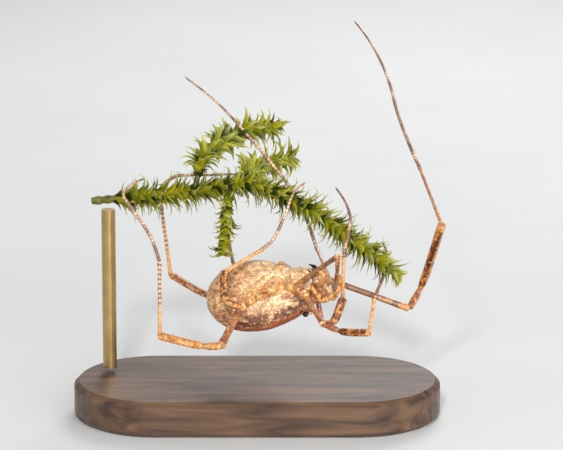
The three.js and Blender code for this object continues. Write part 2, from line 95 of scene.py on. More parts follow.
# Body form: place along the body, half width, height of the back and depth of the belly
BODY_STATIONS = [
    (-3.15, 0, 0, 0),
    (-3.03, 0.72, 0.6, 0.58),
    (-2.62, 1.36, 1.18, 1.14),
    (-1.9, 1.92, 1.66, 1.6),
    (-1.0, 2.27, 1.93, 1.85),
    (0.0, 2.36, 2.0, 1.88),
    (0.7, 2.26, 2.0, 1.76),
    (1.3, 2.02, 1.92, 1.5),
    (1.9, 1.8, 1.74, 1.32),
    (2.5, 1.54, 1.5, 1.15),
    (3.05, 1.16, 1.12, 0.9),
    (3.3, 0, 0, 0),
]
BODY_INSET = 0.992
FURROWS = [-2.72, -2.25, -1.7, -1.1, -0.45, 0.2]
BELLY_FURROWS = [-2.55, -2.1, -1.65, -1.2, -0.75]
BELLY_PLATE = [(0.6, 0, -1.46), (1.6, 0, -1.36), (2.5, 0, -1.1)]
BELLY_PLATE_R = (0.48, 0.34)
RELAX_SHARE = 0.5
RELAX_TIMES = 4
TRUNK_RINGS = 150
TRUNK_SIDES = 160
VOXEL = 0.045

# Hips, in the body's frame, left side. Near and far hips: how far past the joint, and how thick
COXA_ROOTS = [(2.75, 0.3, -0.75), (2.3, 0.34, -1.1), (1.65, 0.38, -1.3), (1.2, 0.45, -1.45)]
COXA_R = 0.37
NEAR_HIP = (0.1, 1.0)
FAR_HIP = (-0.12, 0.82)
HIP_END_R = {"left": 0.23, "right": 0.19}

# Lengths of femur, patella, tibia, metatarsus and tarsus of each pair
LEG_LENGTHS = [
    (3.0, 1.2, 2.4, 2.9, 4.6),
    (6.8, 1.4, 6.3, 5.3, 13.2),
    (3.0, 1.2, 2.5, 3.4, 4.8),
    (3.9, 1.3, 3.0, 4.7, 6.2),
]
# Pair, hip joint, turn and lean of femur, patella, tibia and metatarsus, turns of the tarsus and its lean
LEGS = {
    "left_1": (1, (2.85, -2.6, 0.02), [(-58, -50), (9, 60), (65, 53), (88, 32)],
               [83, 75, 80, 86, 107, 117, 126], 18),
    "right_1": (1, (3.33, -0.1, 1.33), [(-80, -2), (-25, -2), (-2, -45), (80, 46)],
                [66, 66, 70, 78, 92, 110], 40),
    "left_2": (2, (2.2, -2.7, 0.58), [(36, -63), (-92, 48), (-94, 80), (113, 60)],
               [108, 114, 122, 128, 130, 131, 133, 138, 143], 4),
    "right_2": (2, (2.74, 0.8, 1.48), [(-20, 5), (61, 12), (74, -51), (109, 45)],
                [112, 110, 107, 102, 107, 113, 119, 125], 42),
    "left_3": (3, (0.78, -2.85, 0.34), [(-150, -51), (159, 38), (95, 48), (31, 40)],
               [41, 58, 66, 66, 72, 62, 38], 8),
    "right_3": (3, (1.45, -0.2, 1.85), [(-40, 80), (-90, 20), (-150, 35), (122, 28)],
                [100, 97, 95, 92], -50),
    "left_4": (4, (-0.63, -2.6, -0.07), [(-117, -36), (-179, 35), (168, 29), (91, 22)],
               [108, 112, 121, 125, 126, 118, 50, 24], 9),
    "right_4": (4, (-0.1, 1.1, 1.9), [(-140, 60), (-145, 0), (155, 15), (97, -24)],
                [88, 40, 6, 0, 2, 0], -6),
}

META_R = 0.115
THIN_SHARE = 0.86
META_RING = 0.3
TARSUS_R = (0.108, 0.055)
BEAD = 0.24
CLAW_R = (0.026, 0.0052)
# Sides of the tubes and the space between their rings
LEG_SIDES = 20 // COARSE
META_SIDES = 16 // COARSE - 2
TOE_SIDES = 16 // COARSE - 4
LEG_SPACING = 0.045 * COARSE
SHIN_SPACING = 0.05 * COARSE
KNEE_SPACING = 0.045
# Where tubes begin or end along a bone, from its joint
HIP_END = (-0.2, 0.26)
FEMUR_START = 0.14
META_START = -0.05
# Points of a claw: how far beyond the tip, and how far up
CLAW_PLACES = [(-0.03, 0), (0.06, 0), (0.11, -0.06)]

# Jaws, palps, eyes and knobs, in the body's frame; the left one where a side isn't named
JAW_BASE = [(3.0, 0.38, 0.05), (3.2, 0.38, 0.14), (3.75, 0.4, 0.22), (4.2, 0.4, 0.02)]
JAW_HAND = [(4.22, 0.4, 0.0), (4.32, 0.39, -0.34), (4.28, 0.38, -0.9), (4.15, 0.3, -1.45)]
JAW_FINGERS = [
    [(4.17, 0.31, -1.35), (3.98, 0.27, -1.75), (3.88, 0.2, -1.98)],
    [(4.17, 0.31, -1.35), (4.2, 0.22, -1.7), (4.12, 0.16, -1.95)],
]
JAW_BASE_R = 0.29
JAW_HAND_R = 0.27
FINGER_R = (0.125, 0.035)
PALPS = {
    "left": [(3.98, 0.92, -1.28), (4.35, 1.17, -0.25), (4.92, 1.16, -0.4), (5.2, 1.3, -1.0),
             (4.92, 1.2, -1.6)],
    "right": [(3.6, -0.9, -0.75), (3.84, -0.97, 0.3), (4.13, -0.84, 1.6), (4.74, -1.35, 0.84),
              (4.89, -1.39, 0.33)],
}
PALP_HIP_ROOT = (2.9, 0.7, -0.6)
PALP_HIP_R = (0.3, 0.3)
PALP_FEMUR_R = 0.13
PALP_MIDDLE_R = 0.155
PALP_FOOT_R = (0.15, 0.1)
MOUND_AT = (2.62, 0, 1.38)
MOUND_SIZE = (0.38, 0.29, 0.35)
MOUND_TOP = (2.6, 0, 1.7)
BROW_AT = (2.92, 0, 1.16)
BROW_SIZE = (0.34, 0.55, 0.34)
KNOB_AT = (3.0, 0.38, 1.46)
KNOB_SIZE = (0.117, 0.13, 0.13)
EYE_AT = (2.66, 0.36, 1.55)
EYE_RADIUS = 0.19

# Tubes, hairs and the small places of faces in a UV map
CURVE_STEPS = 24
END_ROUNDING = 0.05
HAIR_STRETCH = (0.03, 0.98)
HAIR_SIZES = (0.65, 1.3)
HAIR_SAG = 0.12
PATCH_SIZE = 0.0012
PATCH_TURN = 2.1

# Colours of the animal, in linear light
TAN = linear(222, 174, 124)
CREAM = linear(244, 214, 168)
GOLD = linear(222, 156, 84)
ROSE_TAN = linear(216, 152, 94)
MAUVE = linear(112, 70, 56)
DARK = linear(66, 34, 24)
GLOW = linear(156, 62, 24)
EMBER = linear(172, 74, 22)
BLOOD = linear(122, 24, 14)
PALE = linear(244, 208, 162)
ORANGE = linear(210, 120, 54)
LILAC = linear(176, 130, 92)
RED_BROWN = linear(128, 62, 30)
SHIN_TAN = linear(196, 122, 62)
LEG_BROWN = linear(140, 74, 34)
LEG_AMBER = linear(204, 120, 48)
FACE_BROWN = linear(112, 50, 24)
META_GOLD = linear(222, 164, 104)
PURPLE_TAN = linear(166, 122, 100)
TARSUS_DARK = linear(84, 52, 44)
BLACK = linear(28, 18, 18)
CARAMEL = linear(202, 142, 86)
NET_BROWN = linear(136, 70, 34)
SHADE_TAN = linear(160, 100, 50)
ASH_TAN = linear(134, 94, 64)
# painted highlight colour, for glints on the jaws
PAINTED_GLINT_WHITE = linear(255, 246, 226)
HIP_GOLD = linear(232, 174, 104)
FINGER_BROWN = linear(120, 62, 34)
# painted glow of light through the knobs beside the eyes
KNOB_GLOW_TAN = linear(236, 172, 116)
# Tones that multiply the colours of a limb
DEEPEN = np.array([0.76, 0.64, 0.5])
SOFTEN = np.array([0.9, 0.78, 0.58])
# Roughness, glow and shine
LIMB_FINISH = (0.42, 0.18, 0.5)
JAW_FINISH = (0.1, 0.3, 0.5)
FINGER_FINISH = (0.2, 0.1, 0.5)
KNOB_FINISH = (0.3, 0.2, 0.5)
EYE_FINISH = (0.1, 0.0, 0.5)
HAIR_FINISH = (0.35, 0.15, 0.5)
LEAF_FINISH = (0.34, 0.45, 0.5)
STALK_FINISH = (0.6, 0.1, 0.4)


# Small helpers for arrays of points

def unit(way):
    return way / max(norm(way), 1e-6)


def noise_shift(seed, spread):
    """Where in the noise a seed looks."""
    return Vector([seed * share for share in spread])


def noisy(points, frequency, seed=0.0):
    """Smooth noise, about -1 to 1, at each point."""
    shift = noise_shift(seed, (13.7, 7.1, 3.3))
    return np.array([noise.noise(Vector(p) * frequency + shift) for p in points.tolist()])


def cells(points, frequency, seed=0.0):
    """0 at the middle of each random cell, growing outwards."""
    shift = noise_shift(seed, (5.1, 9.7, 2.9))
    return np.array([noise.voronoi(Vector(p) * frequency + shift)[0][0] for p in points.tolist()])


def cell_walls(points, frequency):
    """0 on the walls between random cells, growing inwards."""
    nearest = np.array([noise.voronoi(Vector(p) * frequency)[0][:2] for p in points.tolist()])
    return nearest[:, 1] - nearest[:, 0]


def step(start, full, values):
    """A soft step from 0 to 1; it fades out where start is above full."""
    t = np.clip((np.asarray(values) - start) / (full - start), 0, 1)
    return t * t * (3 - 2 * t)


def close_to(place, width, values):
    return np.exp(-((values - place) / width) ** 2)


def mix(colours, colour, amount):
    amount = np.broadcast_to(amount, (len(colours),))[:, None]
    return colours * (1 - amount) + np.asarray(colour) * amount


def layered(count, paint, band=None):
    """A base colour, then layers of a colour, its strength and its bands, mixed over it in turn.

    A layer without a colour tones all that lies below it.
    """
    colours = np.tile(paint[0], (count, 1))
    for colour, strength, *bands in paint[1:]:
        if colour is None:
            colours = colours * strength
        else:
            for limits in bands:
                strength = strength * band(*limits)
            colours = mix(colours, colour, strength)
    return colours


def distances_along(line):
    """How far along a line each of its points lies."""
    return np.concatenate([[0], np.cumsum(norm(np.diff(line, axis=0), axis=1))])


def smooth_line(points, spacing):
    """A smooth curve through points (centripetal), sampled evenly."""
    points = [np.asarray(p, float) for p in points]
    if len(points) == 2:
        count = max(2, int(norm(points[1] - points[0]) / spacing) + 1)
        return points[0] + (points[1] - points[0]) * np.linspace(0, 1, count)[:, None]
    ends = [2 * points[0] - points[1]] + points + [2 * points[-1] - points[-2]]
    samples = []
    for a, b, c, d in zip(ends, ends[1:], ends[2:], ends[3:]):
        ta = norm(b - a) ** 0.5
        tb = ta + max(norm(c - b) ** 0.5, 1e-6)
        tc = tb + max(norm(d - c) ** 0.5, 1e-6)
        for t in np.linspace(ta, tb, CURVE_STEPS, endpoint=False):
            ab = a + (b - a) * t / ta
            bc = b + (c - b) * (t - ta) / (tb - ta)
            cd = c + (d - c) * (t - tb) / (tc - tb)
            abc = ab + (bc - ab) * t / tb
            bcd = bc + (cd - bc) * (t - ta) / (tc - ta)
            samples.append(abc + (bcd - abc) * (t - ta) / (tb - ta))
    samples = np.array([*samples, points[-1]])
    lengths = distances_along(samples)
    even = np.linspace(0, lengths[-1], max(2, int(lengths[-1] / spacing) + 1))
    return np.stack([np.interp(even, lengths, samples[:, k]) for k in range(3)], axis=1)


def frames_along(line):
    """Directions along, across and over a line, turning as little as they can."""
    along = np.gradient(line, axis=0)
    along /= norm(along, axis=1)[:, None]
    start = np.cross(along[0], (0, 1, 0))
    if norm(start) < 0.2:
        start = np.cross(along[0], (0, 0, 1))
    across = np.zeros_like(line)
    across[0] = unit(start)
    for i in range(1, len(line)):
        across[i] = unit(across[i - 1] - along[i] * np.dot(across[i - 1], along[i]))
    return along, across, np.cross(across, along)


def ring_faces(rings, sides, turned=False):
    """Faces of a closed skin of rings. Its two end points follow after the rings."""
    faces = []
    for low in range(0, (rings - 1) * sides, sides):
        high = low + sides
        for k in range(sides):
            n = (k + 1) % sides
            faces.append((low + k, low + n, high + n, high + k))
    first, last, top = rings * sides, rings * sides + 1, (rings - 1) * sides
    for k in range(sides):
        n = (k + 1) % sides
        faces.append((first, n, k))
        faces.append((last, top + k, top + n))
    return [face[:1] + face[:0:-1] for face in faces] if turned else faces


# Tubes, and what they are painted by

def ridges(angle):
    """1 on the four long edges of a limb, 0 along the middle of its faces."""
    return np.clip(-np.cos(4 * angle), 0, 1)


def prism(angle, amount):
    """Four faces a little flatter than round."""
    return 1 - amount * np.cos(4 * angle)


def streaks(tube, along, seed):
    """Noise drawn out along a limb, with a little fine noise."""
    drawn = [
        noise.noise(Vector((cos(a) * 1.3, sin(a) * 1.3, s * along + seed)))
        for a, s in zip(tube.angle.tolist(), tube.s.tolist())]
    return np.array(drawn) + 0.35 * noisy(tube.points, 7.0, seed + 1)


FIELDS = {
    "noise": lambda tube, frequency, seed: noisy(tube.points, frequency, seed),
    "clouds": lambda tube, frequency, seed: np.clip(0.8 + 0.8 * noisy(tube.points, frequency, seed), 0, 0.95),
    "cells": lambda tube, frequency, seed: cells(tube.points, frequency, seed),
    "walls": lambda tube, frequency: cell_walls(tube.points, frequency),
    "streaks": streaks,
}


class Tube:
    """A closed tube round a line, with radius(size, u, s, angle) at each point.

    u is the share of its length, s the way along it in millimetres and angle the turn round it.
    """

    def __init__(self, points, radius, size, sides, spacing):
        line = smooth_line(points, spacing)
        along, across, over = frames_along(line)
        lengths = distances_along(line)
        self.sides, self.length = sides, lengths[-1]
        ring = np.repeat(np.arange(len(line)), sides)
        angle = np.tile(np.arange(sides) / sides * 2 * pi, len(line))
        s = lengths[ring]
        u = s / self.length
        out = across[ring] * np.sin(angle)[:, None] + over[ring] * np.cos(angle)[:, None]
        ends = 1 - np.clip(np.minimum(s, self.length - s) / END_ROUNDING, 0, 1)
        r = radius(size, u, s, angle) * np.sqrt(1 - 0.75 * ends ** 2)
        self.points = np.vstack([line[ring] + out * r[:, None], line[0], line[-1]])
        self.out = np.vstack([out, -along[0], along[-1]])
        self.u = np.concatenate([u, [0, 1]])
        self.s = np.concatenate([s, [0, self.length]])
        self.angle = np.concatenate([angle, [0, 0]])
        self.faces = ring_faces(len(line), sides)
        self.fields = {
            "u": self.u,
            "ridge": ridges(self.angle),
            "between ridges": 1 - ridges(self.angle),
            "off middle": 1 - np.cos(4 * self.angle),
            # a side of each tube, for painted shade
            "shade": np.sin(self.angle + 0.8),
            # a narrow side of each tube, for a painted highlight
            "glint": np.cos(self.angle - 1.2),
            "joint": 1 - np.abs(np.sin(self.s / BEAD * pi)),
            "ring": np.abs(np.sin(self.s / META_RING * pi)),
            "dark ring": close_to(0.87, 0.016, self.u),
        }

    def band(self, name, start=None, full=None, share=1.0):
        """How far each point lies in a band of a field: a name, or the numbers of a noise."""
        if name not in self.fields:
            kind, *numbers = name if isinstance(name[0], str) else ("noise", *name)
            self.fields[name] = FIELDS[kind](self, *numbers)
        if start is None:
            return self.fields[name]
        return 1 - share + share * step(start, full, self.fields[name])


class Shape:
    """Vertices, faces and painted values gathered into one mesh."""

    def __init__(self):
        self.points, self.faces, self.colours, self.finish, self.patches = [], [], [], [], []
        self.count = 0

    def add(self, points, faces, colours, finish, patch=(0.5, 0.5)):
        self.points.append(np.asarray(points))
        self.faces.extend([tuple(i + self.count for i in f) for f in faces])
        self.colours.append(np.broadcast_to(colours, (len(points), 3)))
        self.finish.append(np.broadcast_to(finish, (len(points), 3)))
        self.patches.extend([patch] * len(faces))
        self.count += len(points)

    def add_tube(self, points, radius, size, paint, sides, spacing, finish=LIMB_FINISH):
        tube = Tube(points, radius, size, sides, spacing)
        self.add(tube.points, tube.faces, layered(len(tube.u), paint, tube.band), finish)
        return tube

    def build(self, name, material, patches=False):
        """The mesh as an object; patches gives each face its own small place in the UV map."""
        mesh = bpy.data.meshes.new(name)
        mesh.from_pydata(to_world(np.vstack(self.points)).tolist(), [], self.faces)
        for layer_name, values in (("tint", np.clip(np.vstack(self.colours), 0, 1)),
                                   ("finish", np.vstack(self.finish))):
            layer = mesh.color_attributes.new(layer_name, "FLOAT_COLOR", "POINT")
            layer.data.foreach_set("color", np.hstack([values, np.ones((self.count, 1))]).ravel())
        if patches:
            corners = np.zeros((len(mesh.loops), 2))
            for polygon, patch in zip(mesh.polygons, self.patches):
                for number, loop in enumerate(polygon.loop_indices):
                    turn = number * PATCH_TURN
                    corners[loop] = (patch[0] + PATCH_SIZE * cos(turn), patch[1] + PATCH_SIZE * sin(turn))
            mesh.uv_layers.new(name="OFBake").data.foreach_set("uv", corners.ravel())
        mesh.polygons.foreach_set("use_smooth", [True] * len(mesh.polygons))
        mesh.materials.append(material)
        mesh.update()
        return put_in_scene(name, mesh)


def put_in_scene(name, data):
    thing = bpy.data.objects.new(name, data)
    bpy.context.scene.collection.objects.link(thing)
    return thing


# Materials. Their depths are in metres, and the scales of their noises are per metre

class Material:
    """A node material; each method adds one kind of node and gives its output."""

    def __init__(self, name):
        self.made = bpy.data.materials.new(name)
        self.made.use_nodes = True
        self.made.node_tree.nodes.clear()
        self.place = self.add("TexCoord", "Object", {})

    def add(self, kind, output, inputs, **settings):
        tree = self.made.node_tree
        node = tree.nodes.new("ShaderNode" + kind)
        for key, value in settings.items():
            setattr(node, key, value)
        for key, value in inputs.items():
            if isinstance(value, bpy.types.NodeSocket):
                tree.links.new(value, node.inputs[key])
            else:
                node.inputs[key].default_value = value
        return node.outputs[output] if output else node

    def painted(self, layer):
        return self.add("VertexColor", "Color", {}, layer_name=layer)

    def finish(self):
        """The painted roughness, glow and shine."""
        return self.add("SeparateColor", None, {"Color": self.painted("finish")}).outputs[:3]

    def stretched(self, scale):
        return self.add("Mapping", "Vector", {"Vector": self.place, "Scale": scale})

    def noise(self, scale, detail=2.0, distortion=0.0, place=None):
        return self.add("TexNoise", "Fac", {
            "Vector": place or self.place, "Scale": scale, "Detail": detail, "Distortion": distortion})

    def cells(self, scale):
        return self.add("TexVoronoi", "Distance", {"Vector": self.place, "Scale": scale})

    def ranged(self, value, low, high, limits=(0.0, 1.0)):
        return self.add("MapRange", "Result", {
            "Value": value, "From Min": limits[0], "From Max": limits[1], "To Min": low, "To Max": high})

    def product(self, first, second):
        return self.add("Math", "Value", {0: first, 1: second}, operation="MULTIPLY")

    def shaded(self, factor):
        """The painted tint, made lighter and darker."""
        return self.add("VectorMath", "Vector", {0: self.painted("tint"), 3: factor}, operation="SCALE")

    def ramp(self, value, dark, light, limits=(0.0, 1.0)):
        ramp = self.add("ValToRGB", None, {"Fac": value})
        for element, colour, place in zip(ramp.color_ramp.elements, (dark, light), limits):
            element.color = (*colour, 1)
            element.position = place
        return ramp.outputs["Color"]

    def bump(self, height, depth, strength):
        return self.add("Bump", "Normal", {"Height": height, "Distance": depth, "Strength": strength})

    def shader(self, colour, rough, more):
        return self.add("BsdfPrincipled", "BSDF", {"Base Color": colour, "Roughness": rough, **more})

    def done(self, surface):
        self.add("OutputMaterial", None, {"Surface": surface})
        return self.made


# Most of a noise lies between these values
NOISE_LIMITS = (0.3, 0.7)


def cuticle_material():
    """Painted cuticle: fine mottling, a net of pebbles, granular relief and a soft shine."""
    made = Material("cuticle")
    rough, glow, shine = made.finish()
    fine = made.noise(9000.0, 4.0)
    lift = made.ranged(fine, 0.8, 1.22, NOISE_LIMITS)
    sway = made.ranged(made.noise(2200.0, 3.0), 0.88, 1.12, NOISE_LIMITS)
    net = made.ranged(made.cells(6800.0), 1.32, 0.76, (0.2, 0.75))
    height = made.add("Math", "Value", {0: made.cells(9000.0), 1: -0.7, 2: fine}, operation="MULTIPLY_ADD")
    return made.done(made.shader(
        made.shaded(made.product(made.product(lift, sway), net)), made.product(rough, lift), {
            "Normal": made.bump(height, 0.000014, 0.8),
            "Subsurface Weight": glow,
            "Subsurface Radius": (1.0, 0.45, 0.25),
            "Subsurface Scale": 0.00018,
            "Specular IOR Level": shine,
            "Coat Weight": 0.35,
            "Coat Roughness": 0.1,
        }))


def eye_material():
    made = Material("eye_black")
    cloud = made.noise(3000.0, 3.0)
    return made.done(made.shader(
        made.ramp(cloud, (0.004, 0.004, 0.006), (0.012, 0.013, 0.02)), made.ranged(cloud, 0.1, 0.18),
        {"Coat Weight": 1.0, "Coat Roughness": 0.04, "Coat IOR": 1.55, "Specular IOR Level": 0.1}))


def leaf_material():
    """Thin moss leaves, through which light shines."""
    made = Material("moss_leaf")
    rough, glow, _ = made.finish()
    fine = made.noise(7000.0, 3.0)
    colour = made.shaded(made.ranged(fine, 0.82, 1.2, NOISE_LIMITS))
    shader = made.shader(colour, rough, {
        "Normal": made.bump(fine, 0.00001, 0.4), "Specular IOR Level": 0.35})
    through = made.add("BsdfTranslucent", "BSDF", {"Color": colour})
    return made.done(made.add("MixShader", "Shader", {0: glow, 1: shader, 2: through}))


def bark_material():
    """Moss stalks."""
    made = Material("moss_stem_bark")
    fine = made.noise(6000.0, 5.0)
    return made.done(made.shader(
        made.shaded(made.ranged(fine, 0.6, 1.35, NOISE_LIMITS)), made.ranged(fine, 0.5, 0.8),
        {"Normal": made.bump(fine, 0.00003, 0.7)}))


def wood_material():
    made = Material("stand_wood")
    lengthwise = made.stretched((0.12, 1.0, 1.0))
    grain = made.noise(1400.0, 6.0, 0.6, lengthwise)
    pores = made.noise(6000.0, 4.0, 0.0, lengthwise)
    return made.done(made.shader(
        made.ramp(grain, (0.035, 0.016, 0.008), (0.16, 0.08, 0.04), (0.32, 0.7)),
        made.ranged(pores, 0.32, 0.6),
        {"Normal": made.bump(pores, 0.00003, 0.35), "Coat Weight": 0.15, "Coat Roughness": 0.3}))


def brass_material():
    made = Material("stand_brass")
    brushed = made.noise(2500.0, place=made.stretched((12.0, 12.0, 0.4)))
    return made.done(made.shader(
        made.ramp(made.noise(1500.0, 5.0), (0.36, 0.23, 0.09), (0.66, 0.47, 0.2)),
        made.ranged(brushed, 0.24, 0.46),
        {"Normal": made.bump(brushed, 0.000006, 0.25), "Metallic": 1.0}))


def floor_material():
    made = Material("floor_pale")
    colour = made.ramp(made.noise(60.0), (0.6, 0.6, 0.585), (0.66, 0.66, 0.645))
    return made.done(made.shader(colour, 0.85, {"Specular IOR Level": 0.2}))


# Leg places, the same as in the solids

def heading(turn, lean):
    turn, lean = radians(turn), radians(lean)
    return np.array([
        cos(lean) * cos(turn), sin(lean), cos(lean) * sin(turn)])


def leg_places(name):
    pair, hip, bones, toes, toe_lean = LEGS[name]
    lengths = LEG_LENGTHS[pair - 1]
    joints = [np.array(hip, float)]
    for (turn, lean), length in zip(bones, lengths):
        joints.append(joints[-1] + heading(turn, lean) * length)
    toe_line = [joints[-1]]
    for turn in toes:
        toe_line.append(toe_line[-1] + heading(turn, toe_lean) * lengths[4] / len(toes))
    return pair, joints, toe_line


def mirrored(points, side):
    """Points of the left side in the picture frame, on the side asked for."""
    return from_body(np.array(points) * (1, SIDES[side], 1))


# Trunk, hips, eye mound and belly plate as one closed skin

def trunk_shape():
    line = smooth_line([(x, width, back) for x, width, back, _ in BODY_STATIONS], 0.04)
    belly = smooth_line([(x, under, 0) for x, _, _, under in BODY_STATIONS], 0.04)
    # the rings are closer together near both ends
    turns = np.linspace(0, pi, TRUNK_RINGS)
    first, last = BODY_STATIONS[0][0], BODY_STATIONS[-1][0]
    x = first + (last - first) * (0.5 - 0.5 * np.cos(turns[1:-1]))
    angle = np.arange(TRUNK_SIDES) / TRUNK_SIDES * 2 * pi
    width = np.interp(x, line[:, 0], line[:, 1])[:, None]
    back = np.interp(x, line[:, 0], line[:, 2])[:, None]
    under = np.interp(x, belly[:, 0], belly[:, 1])[:, None]
    tall = np.where(np.cos(angle) > 0, back, under)
    rings = np.broadcast_arrays(x[:, None], np.sin(angle) * width, np.cos(angle) * tall)
    points = np.vstack([np.stack(rings, axis=-1).reshape(-1, 3), (first, 0, 0), (last, 0, 0)])
    return from_body(points * BODY_INSET), ring_faces(len(x), TRUNK_SIDES, turned=True)


def ball_shape(size, rings=24, sides=32):
    tall = pi * np.arange(1, rings)[:, None] / rings
    turn = 2 * pi * np.arange(sides) / sides
    ball = np.broadcast_arrays(np.sin(tall) * np.cos(turn), np.sin(tall) * np.sin(turn), np.cos(tall))
    points = np.vstack([np.stack(ball, axis=-1).reshape(-1, 3), (0, 0, 1), (0, 0, -1)])
    return points * size, ring_faces(rings - 1, sides, turned=True)


def taper(size, u, s, angle):
    return size[0] + (size[1] - size[0]) * u


def coxa_radius(size, u, s, angle):
    """A hip segment: a rounded prism, waisted at its root and fuller near its end."""
    return size * (0.9 + 0.12 * np.sin(u * pi) - 0.1 * step(0.86, 1, u)) * prism(angle, -0.05)


def jaw_base_radius(size, u, s, angle):
    return size + 0.06 * np.sin(u * pi) - 0.05 * step(0.85, 1, u)


def hip_lines():
    """Root and end of the hip segment of each leg."""
    lines = {}
    for name in LEGS:
        pair, joints, _ = leg_places(name)
        lines[name] = (mirrored([COXA_ROOTS[pair - 1]], name.split("_")[0])[0], joints[0])
    return lines


def fused_trunk():
    """Trunk, hips, mound and plate fused by a fine grid, as points, faces and normals."""
    parts = [trunk_shape()]

    def put(*values):
        tube = Tube(*values)
        parts.append((tube.points, tube.faces))

    for name, (root, hip) in hip_lines().items():
        past, slim = FAR_HIP if name.startswith("right") else NEAR_HIP
        put([root, hip + unit(hip - root) * past], coxa_radius, COXA_R * slim, 28, 0.06)
    for side, palp in PALPS.items():
        put([*mirrored([PALP_HIP_ROOT], side), from_body(palp[0])], taper, PALP_HIP_R, 24, 0.06)
    for side in SIDES:
        put(mirrored(JAW_BASE, side), jaw_base_radius, JAW_BASE_R, 24, 0.05)
    for centre, size in ((MOUND_AT, MOUND_SIZE), (BROW_AT, BROW_SIZE)):
        ball, ball_faces = ball_shape(size)
        parts.append((from_body(ball + centre), ball_faces))
    put(from_body(BELLY_PLATE), taper, BELLY_PLATE_R, 32, 0.06)

    points, faces = [], []
    for part_points, part_faces in parts:
        faces += [tuple(i + len(points) for i in face) for face in part_faces]
        points += part_points.tolist()
    mesh = bpy.data.meshes.new("trunk_source")
    mesh.from_pydata(points, [], faces)
    thing = put_in_scene("trunk_source", mesh)
    remesh = thing.modifiers.new("fuse", "REMESH")
    remesh.mode = "VOXEL"
    remesh.voxel_size = VOXEL
    relax = thing.modifiers.new("relax", "SMOOTH")
    relax.factor = RELAX_SHARE
    relax.iterations = RELAX_TIMES
    done = thing.evaluated_get(bpy.context.evaluated_depsgraph_get())
    result = bpy.data.meshes.new_from_object(done)
    place, normal = np.zeros((2, len(result.vertices) * 3))
    result.vertices.foreach_get("co", place)
    result.vertices.foreach_get("normal", normal)
    quads = [tuple(p.vertices) for p in result.polygons]
    bpy.data.objects.remove(thing)
    bpy.data.meshes.remove(mesh)
    bpy.data.meshes.remove(result)
    return place.reshape(-1, 3), quads, normal.reshape(-1, 3)


def distance_to_line(points, a, b):
    way = b - a
    t = np.clip((points - a) @ way / (way @ way), 0, 1)
    return norm(points - (a + t[:, None] * way), axis=1), t


def spot(across, down, x, y, wide, tall, turn):
    """How far a point of the picture lies inside a soft oval mark, 0 to 1."""
    c, s = cos(radians(turn)), sin(radians(turn))
    dx, dy = across - x, down - y
    u = (dx * c - dy * s) / wide
    v = (dx * s + dy * c) / tall
    return 1 - step(0.6, 1.15, np.sqrt(u * u + v * v))


# Marks on the near side, a few of them painted highlights and a painted shadow: picture place, half sizes,
# turn, colour and strength. Then a rougher place
BODY_MARKS = [
    (272.7, 283.0, 1.9, 1.4, 0, BLOOD, 0.9),
    (300.0, 290.0, 1.6, 1.2, 0, BLOOD, 0.9),
    (303.5, 293.5, 1.0, 1.9, 15, BLOOD, 0.85),
    (306.0, 294.0, 0.9, 1.7, 25, BLOOD, 0.8),
    (268.3, 291.0, 1.7, 2.4, 20, DARK, 0.85),
    (245.8, 296.8, 1.5, 1.5, 0, DARK, 0.7),
    (286.0, 286.0, 2.0, 1.6, 0, MAUVE, 0.8),
    (281.0, 264.3, 4.2, 1.1, 0, DARK, 0.7),
    (299.0, 262.6, 3.0, 1.2, 0, DARK, 0.85),
    (290.0, 308.0, 3.4, 3.0, 0, DARK, 0.75),
    (284.0, 313.5, 2.8, 1.7, 20, MAUVE, 0.8),
    (296.5, 300.9, 11.0, 0.8, 4, DARK, 0.75),
    (290.0, 295.5, 12.0, 4.5, 12, SHADE_TAN, 0.9),
    (278.0, 291.0, 5.0, 6.0, 0, HIP_GOLD, 0.7),
    (291.0, 288.5, 7.5, 6.5, 0, HIP_GOLD, 0.75),
    (284.3, 291.0, 0.9, 5.0, 5, SHADE_TAN, 0.85),
    (290.5, 296.0, 7.5, 0.9, 4, RED_BROWN, 0.45),
    (299.5, 299.0, 10.0, 3.6, 8, MAUVE, 0.6),
    (303.0, 304.0, 8.0, 3.0, 10, RED_BROWN, 0.4),
    (284.0, 301.0, 6.5, 1.0, 12, CREAM, 0.4),
    (295.0, 296.5, 4.5, 0.8, 20, RED_BROWN, 0.7),
    (276.5, 304.3, 2.2, 1.1, 5, CREAM, 0.9),
    # painted highlight: a white line along a hip
    (265.5, 280.0, 13.0, 1.0, 37, CREAM, 0.8),
    # painted highlight on a hip
    (288.5, 286.3, 1.7, 1.7, 0, CREAM, 0.9),
    (293.0, 284.0, 2.2, 1.2, 20, CREAM, 0.85),
    # painted highlight on a hip
    (284.0, 291.5, 0.9, 2.2, 0, CREAM, 0.8),
    # painted highlight on a hip
    (272.0, 291.0, 0.9, 2.2, 0, CREAM, 0.85),
    (302.5, 286.0, 3.0, 0.9, 30, CREAM, 0.8),
    # painted shadow beside the eye, under the brow
    (301.5, 311.5, 2.0, 1.6, 0, DARK, 0.8),
]
MATT_PLACE = (288.0, 298.5, 20.0, 9.0, 12)


